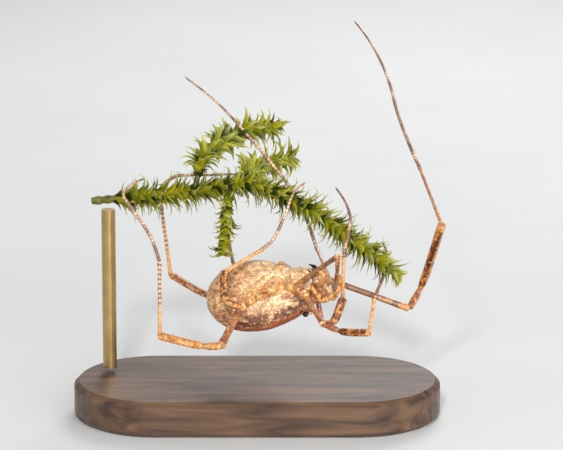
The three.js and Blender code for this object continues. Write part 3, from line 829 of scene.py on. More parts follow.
def trunk_zones(points, normals):
    """Which part of the trunk each point belongs to, and the noises that mark it."""
    z = SimpleNamespace()
    body, outward = to_body(points), to_body(normals)
    z.x, z.left, z.dorsal = body.T
    z.facing_back = outward[:, 2]
    z.hip_gap, z.hip_t = np.full(len(points), 9.0), np.zeros(len(points))
    for root, hip in hip_lines().values():
        gap, t = distance_to_line(points, root, hip)
        z.hip_t = np.where(gap < z.hip_gap, t, z.hip_t)
        z.hip_gap = np.minimum(gap, z.hip_gap)
    stations, width, tall, deep = np.array(BODY_STATIONS).T
    z.scale = np.maximum(np.interp(z.x, stations, width), 0.3)
    depth = np.where(z.dorsal > 0, np.interp(z.x, stations, tall), np.interp(z.x, stations, deep))
    z.inside = np.sqrt((z.left / z.scale) ** 2 + (z.dorsal / np.maximum(depth, 0.3)) ** 2)
    z.hip = (1 - step(0.38, 0.46, z.hip_gap)) * step(0.985, 1.06, z.inside)
    z.off_hip = 1 - z.hip
    z.belly = step(0.15, 0.55, -z.facing_back) * z.off_hip
    z.back = step(0.1, 0.48, z.facing_back) * z.off_hip
    z.flank = (1 - z.belly) * (1 - z.back) * z.off_hip
    z.rear = step(0.9, -1.0, z.x)

    z.grain = cells(points, 6.0, 1)
    z.pebble = np.clip(0.45 - z.grain, 0, 0.45) / 0.45
    z.grit = np.clip(0.4 - cells(points, 10.0, 2), 0, 0.4) / 0.4
    z.rough = noisy(points, 2.2, 3)
    z.ripple = noisy(points, 7.0, 4)
    z.patchy = noisy(points, 1.1, 6)
    z.blotch = noisy(points, 2.4, 7) + 0.5 * noisy(points, 6.0, 8)
    z.streak = step(0.1, 0.5, noisy(body * (0.6, 2.2, 2.2), 2.4, 9))
    z.fleck = step(0.25, 0.4, noisy(points, 9.0, 10))
    swirl = body + 0.16 * np.stack([noisy(body, 1.6, 12), noisy(body, 1.6, 13), z.rough], axis=1)
    z.fold = noisy(swirl * (2.6, 5.2, 5.2), 1.0, 11)
    z.groove = step(0.02, 0.34, -z.fold)
    z.crest = step(0.05, 0.4, z.fold)
    bent = z.x + 0.12 * noisy(body, 0.8, 5)
    ring = sum(close_to(place, 0.055, bent) for place in FURROWS)
    under = sum(close_to(place, 0.05, bent) for place in BELLY_FURROWS)
    z.furrow = ring * (0.35 + 0.65 * z.back) * z.off_hip + 0.6 * under * z.belly
    seam_place = -0.25 - 0.12 * np.sin(z.x * 1.3) - 0.1 * z.rough
    z.seam = close_to(seam_place, 0.05, z.dorsal) * (z.left > 0) * z.off_hip * z.rear
    z.crease = close_to(0.42, 0.03, z.hip_gap) * step(0.97, 1.03, z.inside)
    return z


def trunk_relief(z):
    """Height of furrows, wrinkles and pebbled granules in millimetres."""
    return (
        0.02 * z.pebble * (0.4 + 0.6 * np.maximum(z.flank, z.back))
        + 0.009 * z.grit
        + 0.026 * z.fold * (1 - 0.6 * z.belly) * (1 - 0.6 * z.hip)
        - 0.03 * z.furrow
        - 0.02 * z.seam
        + 0.012 * z.ripple
        - 0.012 * z.crease
        - 0.022
    )


def trunk_layers(z):
    low = step(-0.95, 0.05, z.facing_back)
    dusk = np.clip(z.flank * step(-1.9, -0.6, z.x) * (0.3 + 0.95 * low) * step(-0.65, 0.1, z.blotch), 0, 1)
    raised = z.pebble + 0.3 * z.crest
    unfolded = step(-0.45, 0.15, z.fold)
    rim = step(0.28, 0.52, z.facing_back + 0.14 * z.blotch) * step(-1.6, 0.2, z.x) * z.off_hip
    saddle = z.back * (1 - step(0.5, 0.9, np.abs(z.left) / (0.62 * z.scale) + 0.25 * z.blotch))
    middle = z.belly * step(0.0, 0.7, z.x) * step(0.75, 0.45, np.abs(z.left))
    return [
        TAN,
        (ROSE_TAN, np.clip(z.rear * (0.6 + 0.5 * z.patchy), 0, 0.8)),
        (PALE, 0.55 * z.belly * (1 - z.rear)),
        (MAUVE, 0.88 * dusk),
        (CREAM, 0.9 * z.flank * step(0.28, 0.52, raised) * unfolded),
        (CREAM, 0.4 * z.crest * (1 - z.flank) * (1 - z.back)),
        (RED_BROWN, z.groove * (0.38 + 0.3 * z.flank + 0.15 * z.rear) * (1 - 0.5 * z.hip)),
        (MAUVE, 0.32 * z.rear * z.streak * z.off_hip * (1 - z.crest)),
        (GLOW, np.clip(z.back * (0.85 + 0.35 * z.patchy), 0, 0.95)),
        (ORANGE, 0.3 * z.back * z.crest),
        (EMBER, 0.75 * rim),
        (CREAM, 0.75 * z.back * step(0.3, 0.55, raised) * unfolded * step(0.62, 0.34, z.facing_back)),
        (DARK, 0.7 * saddle),
        (PALE, 0.7 * middle * (1 - 0.5 * z.groove)),
        (DARK, 0.4 * np.clip(z.furrow, 0, 1)),
        (DARK, 0.4 * z.seam),
        (HIP_GOLD, 0.85 * z.hip),
        (RED_BROWN, 0.5 * z.hip * step(0.72, 0.95, z.hip_t) * step(-0.3, 0.2, z.blotch)),
        (CREAM, 0.6 * z.hip * step(0.1, 0.5, -z.facing_back) * step(-0.1, 0.4, z.ripple)),
        (ORANGE, 0.6 * z.hip * step(0.05, 0.5, z.facing_back)),
        (RED_BROWN, 0.7 * z.crease),
        (CREAM, 0.4 * z.grit * (1 - dusk)),
        (RED_BROWN, 0.5 * z.fleck * np.maximum(z.hip, 0.6 * z.belly)),
    ]


def jaw_base_layers(points, z, side):
    jaw = mirrored(JAW_BASE, side)
    gap, _ = distance_to_line(points, jaw[1], jaw[3])
    onto = step(0.42, 0.36, gap) * step(3.15, 3.35, z.x)
    return [
        (CARAMEL, 0.85 * onto),
        (NET_BROWN, 0.6 * onto * step(0.3, 0.5, z.grain)),
        (CREAM, 0.5 * onto * z.pebble),
    ]


def mound_layers(points):
    """The orange eye mound, and a black ring of painted shade where each eye sits on it."""
    mound_gap, _ = distance_to_line(points, from_body(MOUND_AT), from_body(MOUND_TOP))
    eye_gap = np.min([norm(points - eye, axis=1) for side in SIDES
                      for eye in mirrored([EYE_AT], side)], axis=0)
    return [
        (ORANGE, 0.6 * step(0.42, 0.32, mound_gap)),
        # painted shade in the crease round each eye
        (BLACK, 0.9 * step(EYE_RADIUS + 0.05, EYE_RADIUS + 0.015, eye_gap)),
    ]


def painted_trunk():
    points, faces, normals = fused_trunk()
    z = trunk_zones(points, normals)
    across, down = to_pixels(points)
    near = step(0.0, 0.35, -normals[:, 1])
    layers = trunk_layers(z)
    for *place, colour, strength in BODY_MARKS:
        layers.append((colour, strength * spot(across, down, *place) * near))
    for side in SIDES:
        layers += jaw_base_layers(points, z, side)
    layers += mound_layers(points)
    wet = 0.5 - 0.12 * z.hip - 0.1 * z.back + 0.1 * z.flank + 0.3 * spot(across, down, *MATT_PLACE) * near
    finish = [np.clip(wet, 0.25, 0.8), np.clip(0.2 + 0.25 * z.back, 0, 0.6), np.full(len(points), 0.45)]
    colours = layered(len(points), layers)
    return points + normals * trunk_relief(z)[:, None], faces, colours, np.stack(finish, axis=1)


# Limbs

STREAKS = ("streaks", 1.1, 24)
DARK_STREAKS = ("streaks", 1.3, 44)


def shin(strength):
    """Dark faces of a given strength between amber edges, with golden and dark streaks."""
    return [
        SHIN_TAN,
        (FACE_BROWN, strength, ("ridge", 0.85, 0.2), ((2.0, 29), -0.45, 0.0)),
        (LEG_AMBER, 0.6, ("ridge", 0.6, 0.9)),
        (GOLD, 0.85, (STREAKS, 0.06, 0.24)),
        (DARK, 0.7, (STREAKS, -0.14, -0.32)),
        (CREAM, 0.6, ((6.0, 36), 0.24, 0.36)),
        (META_GOLD, 0.5, ("u", 0.05, 0.02)),
        (META_GOLD, 0.6, ("u", 0.94, 0.97)),
        (None, DEEPEN),
    ]


def meta(orange, *tinted):
    """Browner below as painted shade, with orange clouds of a given strength, over other layers."""
    return [
        META_GOLD,
        *tinted,
        # painted shade along one side
        (LEG_BROWN, 0.4, ("shade", -0.3, 0.7)),
        (ORANGE, orange, ((3.0, 26), 0.1, 0.4)),
        (CREAM, 0.35, ((3.0, 26), -0.1, -0.4)),
        (RED_BROWN, 0.6, ("u", 0.05, 0.0)),
    ]


META_END = (DARK, 0.85, ("u", 0.955, 0.985))

# A paint is a base colour and layers: colour, strength and bands. A band is a field, the values where it
# starts and is full, and how much of the strength depends on it. Two numbers are a noise: frequency, seed.
FEMUR = [
    LEG_BROWN,
    (LEG_AMBER, 0.9, ("ridge", 0.4, 0.8)),
    (GLOW, 0.75, ("ridge", 0.86, 1.0)),
    (None, DEEPEN),
    (LILAC, 1.0, (("clouds", 1.7, 20),), ("off middle", 1.3, 0.3), ("u", 0.05, 0.2), ("u", 0.8, 0.55, 0.55)),
    (GOLD, 0.6, ("u", 0.3, 0.1)),
    (DARK, 0.75, ((6.5, 21), 0.18, 0.3), ("u", 0.45, 0.75)),
    (RED_BROWN, 0.55, ("u", 0.8, 0.86), ("u", 0.96, 0.93)),
    (META_GOLD, 0.6, ("u", 0.955, 0.975)),
    (CREAM, 0.4, ((10.0, 22), 0.3, 0.45)),
]
# golden with small dark marks, browner towards the knee
GOLD_FEMUR = [
    GOLD,
    (CREAM, 0.55, ("ridge", 0.7, 0.1), ((1.9, 41), -0.3, 0.2)),
    (GLOW, 0.6, ("ridge", 0.8, 1.0)),
    (FACE_BROWN, 0.85, ((4.6, 42), 0.14, 0.28)),
    (RED_BROWN, 0.6, ("u", 0.6, 0.85), ((1.9, 41), 0.3, -0.1)),
    (CREAM, 0.6, ("u", 0.95, 0.975)),
    (None, SOFTEN),
]
# ash brown, then pale, a dark band and a golden end
BANDED_FEMUR = [
    ASH_TAN,
    (NET_BROWN, 0.8, ("ridge", 0.5, 0.9)),
    (PURPLE_TAN, 0.7, ((1.8, 47), 0.0, 0.4), ("between ridges",)),
    (PALE, 0.4, ("u", 0.66, 0.72), ("between ridges",)),
    (DARK, 0.7, ((6.0, 48), 0.18, 0.32), ("u", 0.5, 0.7)),
    (DARK, 0.7, ("dark ring",)),
    (GOLD, 0.75, ("u", 0.9, 0.93)),
    (None, SOFTEN),
]
KNEE = [
    LEG_AMBER,
    (RED_BROWN, 0.85, ("ridge", 0.7, 0.1)),
    (GLOW, 0.6, ("ridge", 0.88, 1.0)),
    (CREAM, 0.45, ((5.0, 23), 0.2, 0.38)),
    (DARK, 0.6, ((5.0, 23), -0.2, -0.4)),
    (ORANGE, 0.4, ("u", 0.1, 0.03)),
    (META_GOLD, 0.45, ("u", 0.92, 0.97)),
    (None, DEEPEN),
]
# golden faces between dark red-brown edges
GOLD_KNEE = [
    GOLD,
    (CREAM, 0.6, ((5.0, 43), 0.0, 0.3)),
    (FACE_BROWN, 0.85, ("ridge", 0.5, 0.85)),
    (RED_BROWN, 0.7, ((5.0, 43), -0.18, -0.34)),
    (CREAM, 0.6, ("u", 0.9, 0.97)),
    (None, SOFTEN),
]
SHIN = shin(0.85)
THIN_SHIN = shin(0.9)
# dark red-brown faces between golden edges
DARK_SHIN = [
    FACE_BROWN,
    (RED_BROWN, 0.7, (DARK_STREAKS, -0.1, 0.2)),
    (GOLD, 0.7, ("ridge", 0.45, 0.8), (DARK_STREAKS, -0.3, 0.1)),
    (GOLD, 0.75, (DARK_STREAKS, 0.22, 0.4)),
    (CREAM, 0.6, ((5.5, 46), 0.24, 0.38)),
    (DARK, 0.7, (DARK_STREAKS, -0.22, -0.36)),
    (META_GOLD, 0.6, ("u", 0.07, 0.03)),
    (META_GOLD, 0.7, ("u", 0.93, 0.97)),
    (None, SOFTEN),
]
PALE_SHIN = [
    GOLD,
    (CREAM, 0.6, ("ridge", 0.8, 0.2), ((1.5, 34), -0.4, 0.2)),
    (LEG_AMBER, 0.8, ("ridge", 0.75, 0.95)),
    (PURPLE_TAN, 0.85, ((5.2, 35), 0.16, 0.28), ("u", 0.45, 0.65)),
    (RED_BROWN, 0.5, ((5.2, 35), -0.22, -0.36)),
    (META_GOLD, 0.6, ("u", 0.94, 0.97)),
    (None, SOFTEN),
]
META = [*meta(0.45), META_END]
# thin metatarsi: lilac-brown, with a pale streak along one side that is a painted highlight
THIN_META = [
    *meta(0.15, (PURPLE_TAN, 0.8, ("u", 0.05, 0.4)), (PALE, 0.5, ("glint", 0.55, 0.95))),
    (None, DEEPEN),
    META_END,
]
# pale rings with dark joints beyond the smooth, golden root
RINGED_META = [
    *META,
    (PURPLE_TAN, 0.85, ("u", 0.34, 0.42)),
    (PALE, 0.7, ("u", 0.34, 0.42), ("ring", 0.75, 0.95)),
    (TARSUS_DARK, 0.8, ("u", 0.34, 0.42), ("ring", 0.5, 0.15)),
]
TARSUS = [
    PURPLE_TAN,
    (PALE, 0.6, ((1.6, 27), -0.1, 0.35), ("u", 1.0, 0.5, 0.6)),
    (TARSUS_DARK, 0.85, ("joint", 0.45, 0.85)),
    (TARSUS_DARK, 0.5, ((1.6, 27), -0.1, -0.4)),
    (DARK, 0.75, ("u", 0.015, 0.0)),
    (TARSUS_DARK, 0.6, ("u", 0.9, 1.0)),
]
TROCHANTER = [
    GOLD,
    (RED_BROWN, 0.6, ((5.5, 28), 0.1, 0.35)),
    (CREAM, 0.6, ((5.5, 28), -0.15, -0.4)),
    (DARK, 0.5, ("u", 0.86, 0.98)),
]
CLAW = [BLACK]
JAW = [
    CARAMEL,
    (NET_BROWN, 0.6, (("walls", 7.0), 0.2, 0.04)),
    (CREAM, 0.5, ((2.6, 31), 0.1, 0.45)),
    # painted highlights: near-white glints in small cells of each jaw
    (PAINTED_GLINT_WHITE, 0.85, (("cells", 3.6, 5), 0.24, 0.12)),
    (DARK, 0.55, ("u", 0.82, 1.0)),
]
FINGER = [FINGER_BROWN, (BLACK, 0.95, ("u", 0.1, 0.5))]
PALP = [
    GOLD,
    (RED_BROWN, 0.75, ((4.5, 32), 0.08, 0.3)),
    (CREAM, 0.7, ((4.5, 32), -0.15, -0.35)),
    (DARK, 0.4, ("u", 0.9, 1.0)),
]
PALP_FOOT = [META_GOLD, (RED_BROWN, 0.5, ("u", 0.4, 1.0))]

# Radii of femur, patella and tibia, then the paints of these and of the metatarsus
LEG_LOOKS = {
    "left_1": ((0.155, 0.215, 0.225), (FEMUR, KNEE, DARK_SHIN, META)),
    "right_1": ((0.16, 0.2, 0.215), (FEMUR, KNEE, DARK_SHIN, META)),
    "left_2": ((0.145, 0.145, 0.135), (FEMUR, KNEE, THIN_SHIN, THIN_META)),
    "right_2": ((0.185, 0.215, 0.245), (BANDED_FEMUR, KNEE, DARK_SHIN, THIN_META)),
    "left_3": ((0.205, 0.245, 0.25), (GOLD_FEMUR, GOLD_KNEE, DARK_SHIN, META)),
    "right_3": ((0.19, 0.2, 0.2), (FEMUR, KNEE, SHIN, META)),
    "left_4": ((0.225, 0.225, 0.225), (FEMUR, PALE_SHIN, PALE_SHIN, RINGED_META)),
    "right_4": ((0.2, 0.2, 0.2), (FEMUR, KNEE, SHIN, RINGED_META)),
}

# Hairs: limb part, number a millimetre, length, thickness, slant, kind and share of the part they stand on
LEG_HAIRS = [
    ("femur", 9, 0.07, 0.014, 0.8, "spur"),
    ("femur", 8, 0.1, 0.006, 1.0, "hair"),
    ("knee", 12, 0.07, 0.013, 0.8, "spur"),
    ("shin", 9, 0.08, 0.012, 0.9, "spur"),
    ("shin", 12, 0.12, 0.006, 1.0, "hair"),
    ("meta", 14, 0.1, 0.006, 1.2, "hair"),
    ("meta", 2.2, 0.16, 0.014, 0.9, "pale", 0.1, 0.99),
    ("toes", 22, 0.09, 0.0045, 1.3, "hair"),
]
PALP_HAIRS = [
    ("femur", 22, 0.12, 0.011, 0.5, "spur"),
    ("middle", 34, 0.13, 0.011, 0.6, "spur"),
    ("middle", 30, 0.12, 0.006, 0.8, "hair"),
    ("foot", 40, 0.12, 0.006, 0.9, "hair"),
]
JAW_HAIRS = [("hand", 26, 0.09, 0.006, 0.7, "hair")]
# Colours of each kind at root and tip
HAIR_PAINT = {
    "spur": (linear(176, 108, 58), linear(64, 36, 24)),
    "hair": (linear(150, 104, 70), linear(224, 184, 136)),
    "pale": (linear(214, 172, 124), linear(250, 232, 200)),
}


def teeth(s, angle, per_mm, shift):
    """Rows of small teeth along the ridges."""
    row = np.round(angle / (pi / 2) + 0.5)
    return np.clip(np.sin(s * per_mm + shift * row), 0, 1) ** 3 * ridges(angle) ** 2


def trochanter_radius(size, u, s, angle):
    return size * np.sqrt(1 - 0.75 * (2 * u - 1) ** 2) * prism(angle, 0.03)


def femur_radius(size, u, s, angle):
    r = size * (0.84 + 0.16 * step(0, 0.25, u) + 0.14 * step(0.8, 0.95, u))
    return r * prism(angle, 0.06) + 0.01 * teeth(s, angle, 26, 2.2)


def knee_radius(size, u, s, angle):
    full = np.sin(np.clip(u * 1.15, 0, 1) * pi) ** 0.7
    return size * (0.78 + 0.27 * full) * prism(angle, 0.06)


def shin_radius(size, u, s, angle):
    r = size * (0.78 + 0.3 * step(0, 0.12, u) + 0.05 * step(0.8, 1, u) - 0.12 * step(0.93, 1, u))
    return r * prism(angle, 0.08) + 0.014 * teeth(s, angle, 21, 1.7)


def meta_radius(size, u, s, angle):
    r = size * (1.15 - 0.22 * step(0, 0.3, u) + 0.28 * step(0.9, 0.98, u))
    return r * (1 + 0.05 * np.sin(s * 9))


def tarsus_radius(size, u, s, angle):
    bead = np.abs(np.sin(s / BEAD * pi)) ** 0.5
    return (size[0] + (size[1] - size[0]) * u ** 1.7) * (0.84 + 0.2 * bead)


def jaw_hand_radius(size, u, s, angle):
    full = size + 0.1 * np.sin(np.clip(u * 1.05, 0, 1) * pi) ** 0.7
    return full - 0.12 * step(0.72, 1, u) + 0.016 * np.sin(s * 22)


def palp_femur_radius(size, u, s, angle):
    return size + 0.05 * step(0.1, 0.9, u)


def palp_middle_radius(size, u, s, angle):
    return (size + 0.045 * np.abs(np.sin(u * 2 * pi))) * prism(angle, 0.05)


def build_limb(shape, parts, rows):
    """The tubes of a limb; gives the places on them from which hairs or spurs grow."""
    tubes = {part: shape.add_tube(*values) for part, values in parts.items()}
    roots = []
    for part, per_mm, length, thickness, slant, kind, *stretch in rows:
        tube = tubes[part]
        rings = len(tube.u) // tube.sides
        for _ in range(int(tube.length * per_mm)):
            i = int(rng.uniform(*(stretch or HAIR_STRETCH)) * (rings - 1))
            k = int(rng.integers(tube.sides))
            at = min(i, rings - 2) * tube.sides + k
            ahead = unit(tube.points[at + tube.sides] - tube.points[at])
            way = unit(tube.out[at] + ahead * slant)
            size = length * rng.uniform(*HAIR_SIZES)
            roots.append((tube.points[at] - tube.out[at] * 0.01, way, size, thickness, kind))
    return roots


def build_leg(shape, name):
    """One leg's tubes; gives the roots of its hairs."""
    pair, joints, toe_line = leg_places(name)
    sizes, paints = LEG_LOOKS[name]
    ways = [unit(end - start) for start, end in zip(joints, joints[1:])]
    bend = smooth_line(joints[1:4], 0.05)
    split = int(np.argmin(norm(bend - joints[2], axis=1)))
    hip, knee, shin = joints[0], bend[:split + 1], bend[split:]
    shape.add_tube([hip + ways[0] * way for way in HIP_END], trochanter_radius,
                   HIP_END_R[name.split("_")[0]], TROCHANTER, LEG_SIDES, 0.035)
    meta_r = META_R * (THIN_SHARE if pair == 2 else 1)
    parts = {
        "femur": ([hip + ways[0] * FEMUR_START, joints[1]], femur_radius, sizes[0], paints[0],
                  LEG_SIDES, LEG_SPACING),
        "knee": ([*knee[::4], knee[-1]], knee_radius, sizes[1], paints[1], LEG_SIDES, KNEE_SPACING),
        "shin": ([*shin[::4], shin[-1]], shin_radius, sizes[2], paints[2], LEG_SIDES, SHIN_SPACING),
        "meta": ([joints[3] + ways[3] * META_START, joints[4]], meta_radius, meta_r, paints[3],
                 META_SIDES, SHIN_SPACING),
        "toes": (toe_line, tarsus_radius, TARSUS_R, TARSUS, TOE_SIDES, LEG_SPACING),
    }
    hairs = build_limb(shape, parts, LEG_HAIRS)
    ahead = unit(toe_line[-1] - toe_line[-2])
    hook = [toe_line[-1] + ahead * way + np.array([0, 0, up]) for way, up in CLAW_PLACES]
    shape.add_tube(hook, taper, CLAW_R, CLAW, 6, 0.02)
    return hairs


def build_head(shape):
    """Knobs beside the eyes, jaws and palps; gives the roots of their hairs."""
    hairs = []
    knob, faces = ball_shape(KNOB_SIZE, 14, 18)
    for sign in SIDES.values():
        # a dark rim, and a pale outer face that is painted light shining through the knob
        glow_side = step(-0.2, 0.75, knob[:, 1] * sign / KNOB_SIZE[1])
        centre = np.array(KNOB_AT) * (1, sign, 1)
        colours = layered(len(knob), [DARK, (KNOB_GLOW_TAN, glow_side)])
        shape.add(from_body(knob + centre), faces, colours, KNOB_FINISH)
    for side in SIDES:
        hand = (mirrored(JAW_HAND, side), jaw_hand_radius, JAW_HAND_R, JAW, 32, 0.03, JAW_FINISH)
        hairs += build_limb(shape, {"hand": hand}, JAW_HAIRS)
        for finger in JAW_FINGERS:
            shape.add_tube(mirrored(finger, side), taper, FINGER_R, FINGER, 14, 0.03, FINGER_FINISH)
    for palp in PALPS.values():
        line = from_body(palp)
        parts = {
            "femur": (line[:2], palp_femur_radius, PALP_FEMUR_R, PALP, 18, 0.035),
            "middle": (line[1:4], palp_middle_radius, PALP_MIDDLE_R, PALP, 18, 0.035),
            "foot": (line[3:], taper, PALP_FOOT_R, PALP_FOOT, 14, 0.04),
        }
        hairs += build_limb(shape, parts, PALP_HAIRS)
    return hairs


def hair_shape(shape, roots):
    """Each hair is a thin, bent, three-sided spike with its own place in the UV map."""
    columns = int(ceil(sqrt(len(roots))))
    faces = [(0, 1, 4, 3), (1, 2, 5, 4), (2, 0, 3, 5), (3, 4, 6), (4, 5, 6), (5, 3, 6)]
    for number, (start, way, length, thickness, kind) in enumerate(roots):
        side = unit(np.cross(way, (0.3, 0.2, 0.9)))
        other = np.cross(way, side)
        sag = side * rng.uniform(-HAIR_SAG, HAIR_SAG) * length
        points = []
        for level, wide in ((0.0, 1.0), (0.5, 0.62)):
            centre = start + way * length * level + sag * level * level
            for turn in np.arange(3) * 2 * pi / 3:
                points.append(centre + (side * cos(turn) + other * sin(turn)) * thickness * wide)
        points.append(start + way * length + sag)
        low, high = HAIR_PAINT[kind]
        colours = np.array([low] * 3 + [0.5 * (low + high)] * 3 + [high])
        patch = ((number % columns + 0.5) / columns, (number // columns + 0.5) / columns)
        shape.add(points, faces, colours, HAIR_FINISH, patch)


# Moss

STEM = [
    (-9.9, 1.0, 5.6), (-6.96, 1.0, 5.89), (-3.39, 1.05, 6.25), (-0.42, 1.1, 6.55),
    (2.56, 1.05, 5.42), (5.4, 1.0, 3.55), (8.3, 1.0, 1.35),
]
HANGING = [(-1.45, 1.08, 6.3), (-1.7, 1.05, 5.75), (-1.82, 1.0, 4.4), (-2.0, 0.9, 2.6)]
BACK = [(-3.7, 1.1, 6.4), (-3.3, 1.5, 8.0), (-2.3, 2.9, 9.1), (-0.7, 4.5, 9.9), (1.1, 5.2, 10.2)]
UPPER = [(-0.95, 1.3, 6.75), (-0.7, 2.05, 7.15), (0.3, 4.0, 7.8), (1.9, 5.0, 8.2)]
# Line, radius, space between leaves, length and breadth of the leaves, bare start and seed
SHOOTS = {
    "stem": (STEM, 0.24, 0.019, 1.6, 1.1, 1.2, 1.0),
    "hanging_shoot": (HANGING, 0.16, 0.036, 1.15, 1.45, 0.3, 2.0),
    "upper_shoot": (UPPER, 0.16, 0.026, 1.4, 1.2, 0.4, 3.0),
    "back_shoot": (BACK, 0.16, 0.026, 1.5, 1.2, 0.5, 4.0),
}
MOSS_GREEN = linear(114, 122, 6)
MOSS_YELLOW = linear(188, 180, 26)
MOSS_OLIVE = linear(52, 66, 2)
MOSS_TIP = linear(224, 226, 150)
MOSS_BROWN = linear(104, 92, 24)
SHOOT_TAPER = 0.45
LEAF_TURN = 2.3999
LEAF_ROWS, LEAF_COLUMNS = ((10, 5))
LEAF_OPENING = 0.3
LEAF_WIDEST = 0.3
LEAF_CURL_FROM = 0.55
# For the outer and for the inner leaves: length and breadth as shares, and lean in radians
LEAF_LENGTH = ((0.65, 1.3), (0.4, 0.62))
LEAF_SPREAD = ((0.85, 2.0), (0.6, 1.1))
LEAF_BREADTH = ((0.22, 0.38), (0.3, 0.42))
OLIVE_SHARE = 0.22
INNER_SHARE = 0.45
CLEAR_OF_TIP = 0.2
CLEAR_OF_MIDDLE = 0.24


def leaf_width(t):
    """Width of a leaf along its length, as a share of its breadth."""
    if t < LEAF_WIDEST:
        return 0.7 + 0.6 * t / LEAF_WIDEST
    return 1.3 * (1 - (t - LEAF_WIDEST) / (1 - LEAF_WIDEST)) ** 0.85


def put_leaf(shape, start, along, out, leaf, patch):
    """A pointed, boat-shaped leaf that leaves the stem steeply and bends outwards."""
    side = np.cross(along, out)
    points, colours = [], []
    centre = np.array(start, float)
    for t in np.arange(LEAF_ROWS + 1) / LEAF_ROWS:
        tilt = LEAF_OPENING + (leaf.spread - LEAF_OPENING) * t ** 0.8
        tilt += leaf.curl * max(0.0, t - LEAF_CURL_FROM)
        way = along * cos(tilt) + out * sin(tilt) + np.array([0, 0, -leaf.hang * t])
        way = unit(way + side * leaf.skew * t)
        inner = np.cross(way, side)
        inner *= np.sign(np.dot(inner, along * sin(tilt) - out * cos(tilt))) or 1.0
        wide = leaf.width * leaf_width(t)
        for v in np.linspace(-1, 1, LEAF_COLUMNS):
            points.append(centre + side * v * wide * 0.5 + inner * v * v * wide * 0.3)
            pale = leaf.pale * step(0.5, 1.0, t + 0.12 * abs(v))
            shade = (1 - 0.25 * (abs(v) < 0.1) * (1 - t)) * (0.62 + 0.38 * min(1, t * 2.5))
            colours.append((leaf.tint * (1 - pale) + MOSS_TIP * pale) * shade)
        centre = centre + way * leaf.length / LEAF_ROWS
    faces = [(a, a + 1, a + LEAF_COLUMNS + 1, a + LEAF_COLUMNS)
             for a in range(LEAF_ROWS * LEAF_COLUMNS) if (a + 1) % LEAF_COLUMNS]
    shape.add(points, faces, np.array(colours), LEAF_FINISH, patch)


def leafy(leaves, stems, points, radius, gap, length, breadth, bare, seed, obstacles):
    """A stalk and its leaves, which spiral up it and leave room for the legs."""
    line = smooth_line(points, 0.05)
    along, across, over = frames_along(line)
    lengths = distances_along(line)

    def stalk_radius(size, u, s, angle):
        return size * (1 - SHOOT_TAPER * u) * (1 + 0.12 * np.sin(s * 11 + angle * 2))

    bark = [MOSS_BROWN, (MOSS_OLIVE, 1.0, ((3.0, seed), -0.2, 0.3))]
    stems.add_tube(points, stalk_radius, radius, bark, 14, 0.06, STALK_FINISH)
    s, turn = bare, seed
    while s < lengths[-1] - 0.05:
        i = min(int(np.searchsorted(lengths, s)), len(line) - 1)
        u = s / lengths[-1]
        turn += LEAF_TURN + rng.uniform(-0.3, 0.3)
        out = across[i] * cos(turn) + over[i] * sin(turn)
        near_tip = max(0.0, u - 0.9) / 0.1
        inner = rng.uniform() < INNER_SHARE
        leaf = SimpleNamespace()
        leaf.length = length * rng.uniform(*LEAF_LENGTH[inner]) * (1 - 0.4 * near_tip)
        leaf.spread = rng.uniform(*LEAF_SPREAD[inner]) * (1 - 0.5 * near_tip)
        start = line[i] + out * radius * (1 - SHOOT_TAPER * u) * 0.8
        reach = (along[i] * cos(leaf.spread * 0.6) + out * sin(leaf.spread * 0.6)) * leaf.length
        gaps = [np.min(norm(obstacles - start - reach * part, axis=1)) for part in (1, 0.55)]
        if gaps[0] > CLEAR_OF_TIP and gaps[1] > CLEAR_OF_MIDDLE:
            yellow = rng.uniform()
            leaf.tint = MOSS_GREEN * (1 - yellow) + MOSS_YELLOW * yellow
            if rng.uniform() < OLIVE_SHARE:
                leaf.tint = MOSS_OLIVE
            leaf.hang = rng.uniform(-0.15, 0.75)
            patch = (rng.uniform(0.01, 0.99), rng.uniform(0.01, 0.99))
            leaf.width = breadth * rng.uniform(*LEAF_BREADTH[inner])
            leaf.pale = 0.3 if inner else rng.uniform(0.2, 0.95)
            leaf.curl = rng.uniform(-1.2, 3.4)
            leaf.skew = rng.uniform(-1.1, 1.1)
            put_leaf(leaves, start, along[i], out, leaf, patch)
        s += gap * rng.uniform(0.7, 1.3)


def build_moss():
    leg_lines = []
    for name in LEGS:
        _, joints, toe_line = leg_places(name)
        leg_lines.append(smooth_line([*joints[:4], *toe_line], 0.15))
    obstacles = np.vstack(leg_lines)
    bark, thin = bark_material(), leaf_material()
    for piece, shoot in SHOOTS.items():
        leaves, stems = Shape(), Shape()
        leafy(leaves, stems, *shoot, obstacles)
        solids = [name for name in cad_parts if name.startswith("perch_" + piece)]
        stalk = stems.build("moss_" + piece, bark)
        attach(stalk, "root")
        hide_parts(*solids)
        blades = leaves.build("moss_leaves_" + piece, thin, patches=True)
        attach(blades, "root")


# Eyes

def build_eyes():
    black = eye_material()
    for side, sign in SIDES.items():
        points, faces = ball_shape((EYE_RADIUS,) * 3, 32, 40)
        # slightly flattened where it sits on the mound
        points[:, 1] *= 1 - 0.12 * step(0.2, 1.0, -points[:, 1] * sign / EYE_RADIUS)
        eye = Shape()
        centre = np.array(EYE_AT) * (1, sign, 1)
        eye.add(from_body(points + centre), faces, np.array([BLACK]), EYE_FINISH)
        thing = eye.build("eye_" + side + "_glossy", black)
        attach(thing, "root")
        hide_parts("eye_" + side)


# Floor, light and camera

FLOOR_HALF = 0.6
LIGHT_TARGET = (1.0, 0, 2.0)
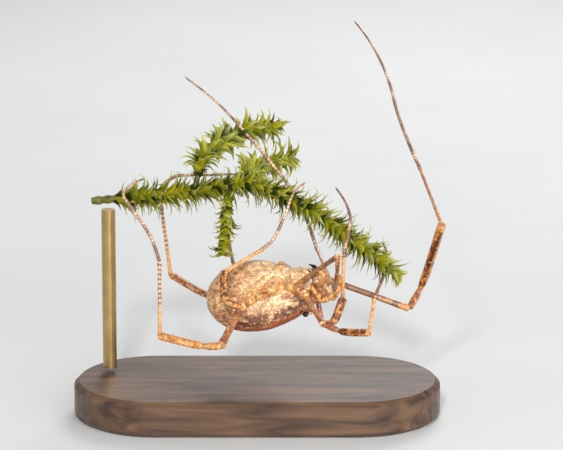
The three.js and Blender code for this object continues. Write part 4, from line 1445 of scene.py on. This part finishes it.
# Place, width and power of each lamp. Its place and width are in metres, as FLOOR_HALF is
LAMPS = {
    "key": ((-0.02, -0.2, 0.13), 0.022, 0.35),
    "front": ((0.07, -0.17, 0.06), 0.14, 0.22),
    "fill": ((0.14, -0.1, 0.06), 0.1, 0.06),
    "rim": ((0.03, 0.12, 0.12), 0.08, 0.16),
}
SKY_COLOUR = (0.86, 0.9, 0.95, 1)
SKY_STRENGTH = 0.42
LENS = 247.2
SENSOR_WIDTH = 36.0
CLIP = (0.005, 5.0)


def build_stage():
    mesh = bpy.data.meshes.new("floor")
    corners = [(x * FLOOR_HALF, y * FLOOR_HALF, 0) for x, y in ((-1, -1), (1, -1), (1, 1), (-1, 1))]
    mesh.from_pydata(corners, [], [(0, 1, 2, 3)])
    mesh.materials.append(floor_material())
    put_in_scene("floor", mesh)
    world = bpy.data.worlds.new("studio")
    bpy.context.scene.world = world
    world.use_nodes = True
    background = world.node_tree.nodes["Background"]
    background.inputs["Color"].default_value = SKY_COLOUR
    background.inputs["Strength"].default_value = SKY_STRENGTH
    target = Vector(to_world(LIGHT_TARGET))
    for name, (place, size, power) in LAMPS.items():
        data = bpy.data.lights.new(name, "AREA")
        data.size = size
        data.energy = power
        lamp = put_in_scene(name, data)
        lamp.location = place
        lamp.rotation_euler = (target - Vector(place)).to_track_quat("-Z", "Y").to_euler()


def build_camera():
    data = bpy.data.cameras.new("camera")
    data.sensor_width = SENSOR_WIDTH
    data.lens = LENS
    data.clip_start, data.clip_end = CLIP
    camera = put_in_scene("camera", data)
    camera.location = to_world((AIM[0], -VIEW_DISTANCE, AIM[1]))
    camera.rotation_euler = (radians(90 - PITCH), 0, 0)
    bpy.context.scene.camera = camera


bpy.context.scene.view_settings.view_transform = "Standard"
build_camera()
build_stage()

cuticle = cuticle_material()
skin = Shape()
skin.add(*painted_trunk())
hair_roots = []
for leg in LEGS:
    hair_roots += build_leg(skin, leg)
hair_roots += build_head(skin)
skin_piece = skin.build("skin", cuticle)
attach(skin_piece, "root")
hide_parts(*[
    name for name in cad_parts
    if name.startswith(("prosoma", "opisthosoma", "chelicera_", "palp_", "leg_"))])

setae = Shape()
hair_shape(setae, hair_roots)
setae_piece = setae.build("setae", cuticle, patches=True)
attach(setae_piece, "root")

build_eyes()
build_moss()

for name, material in (("stand_base", wood_material()), ("stand_rod", brass_material())):
    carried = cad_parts[name]
    carried.data.materials.clear()
    carried.data.materials.append(material)
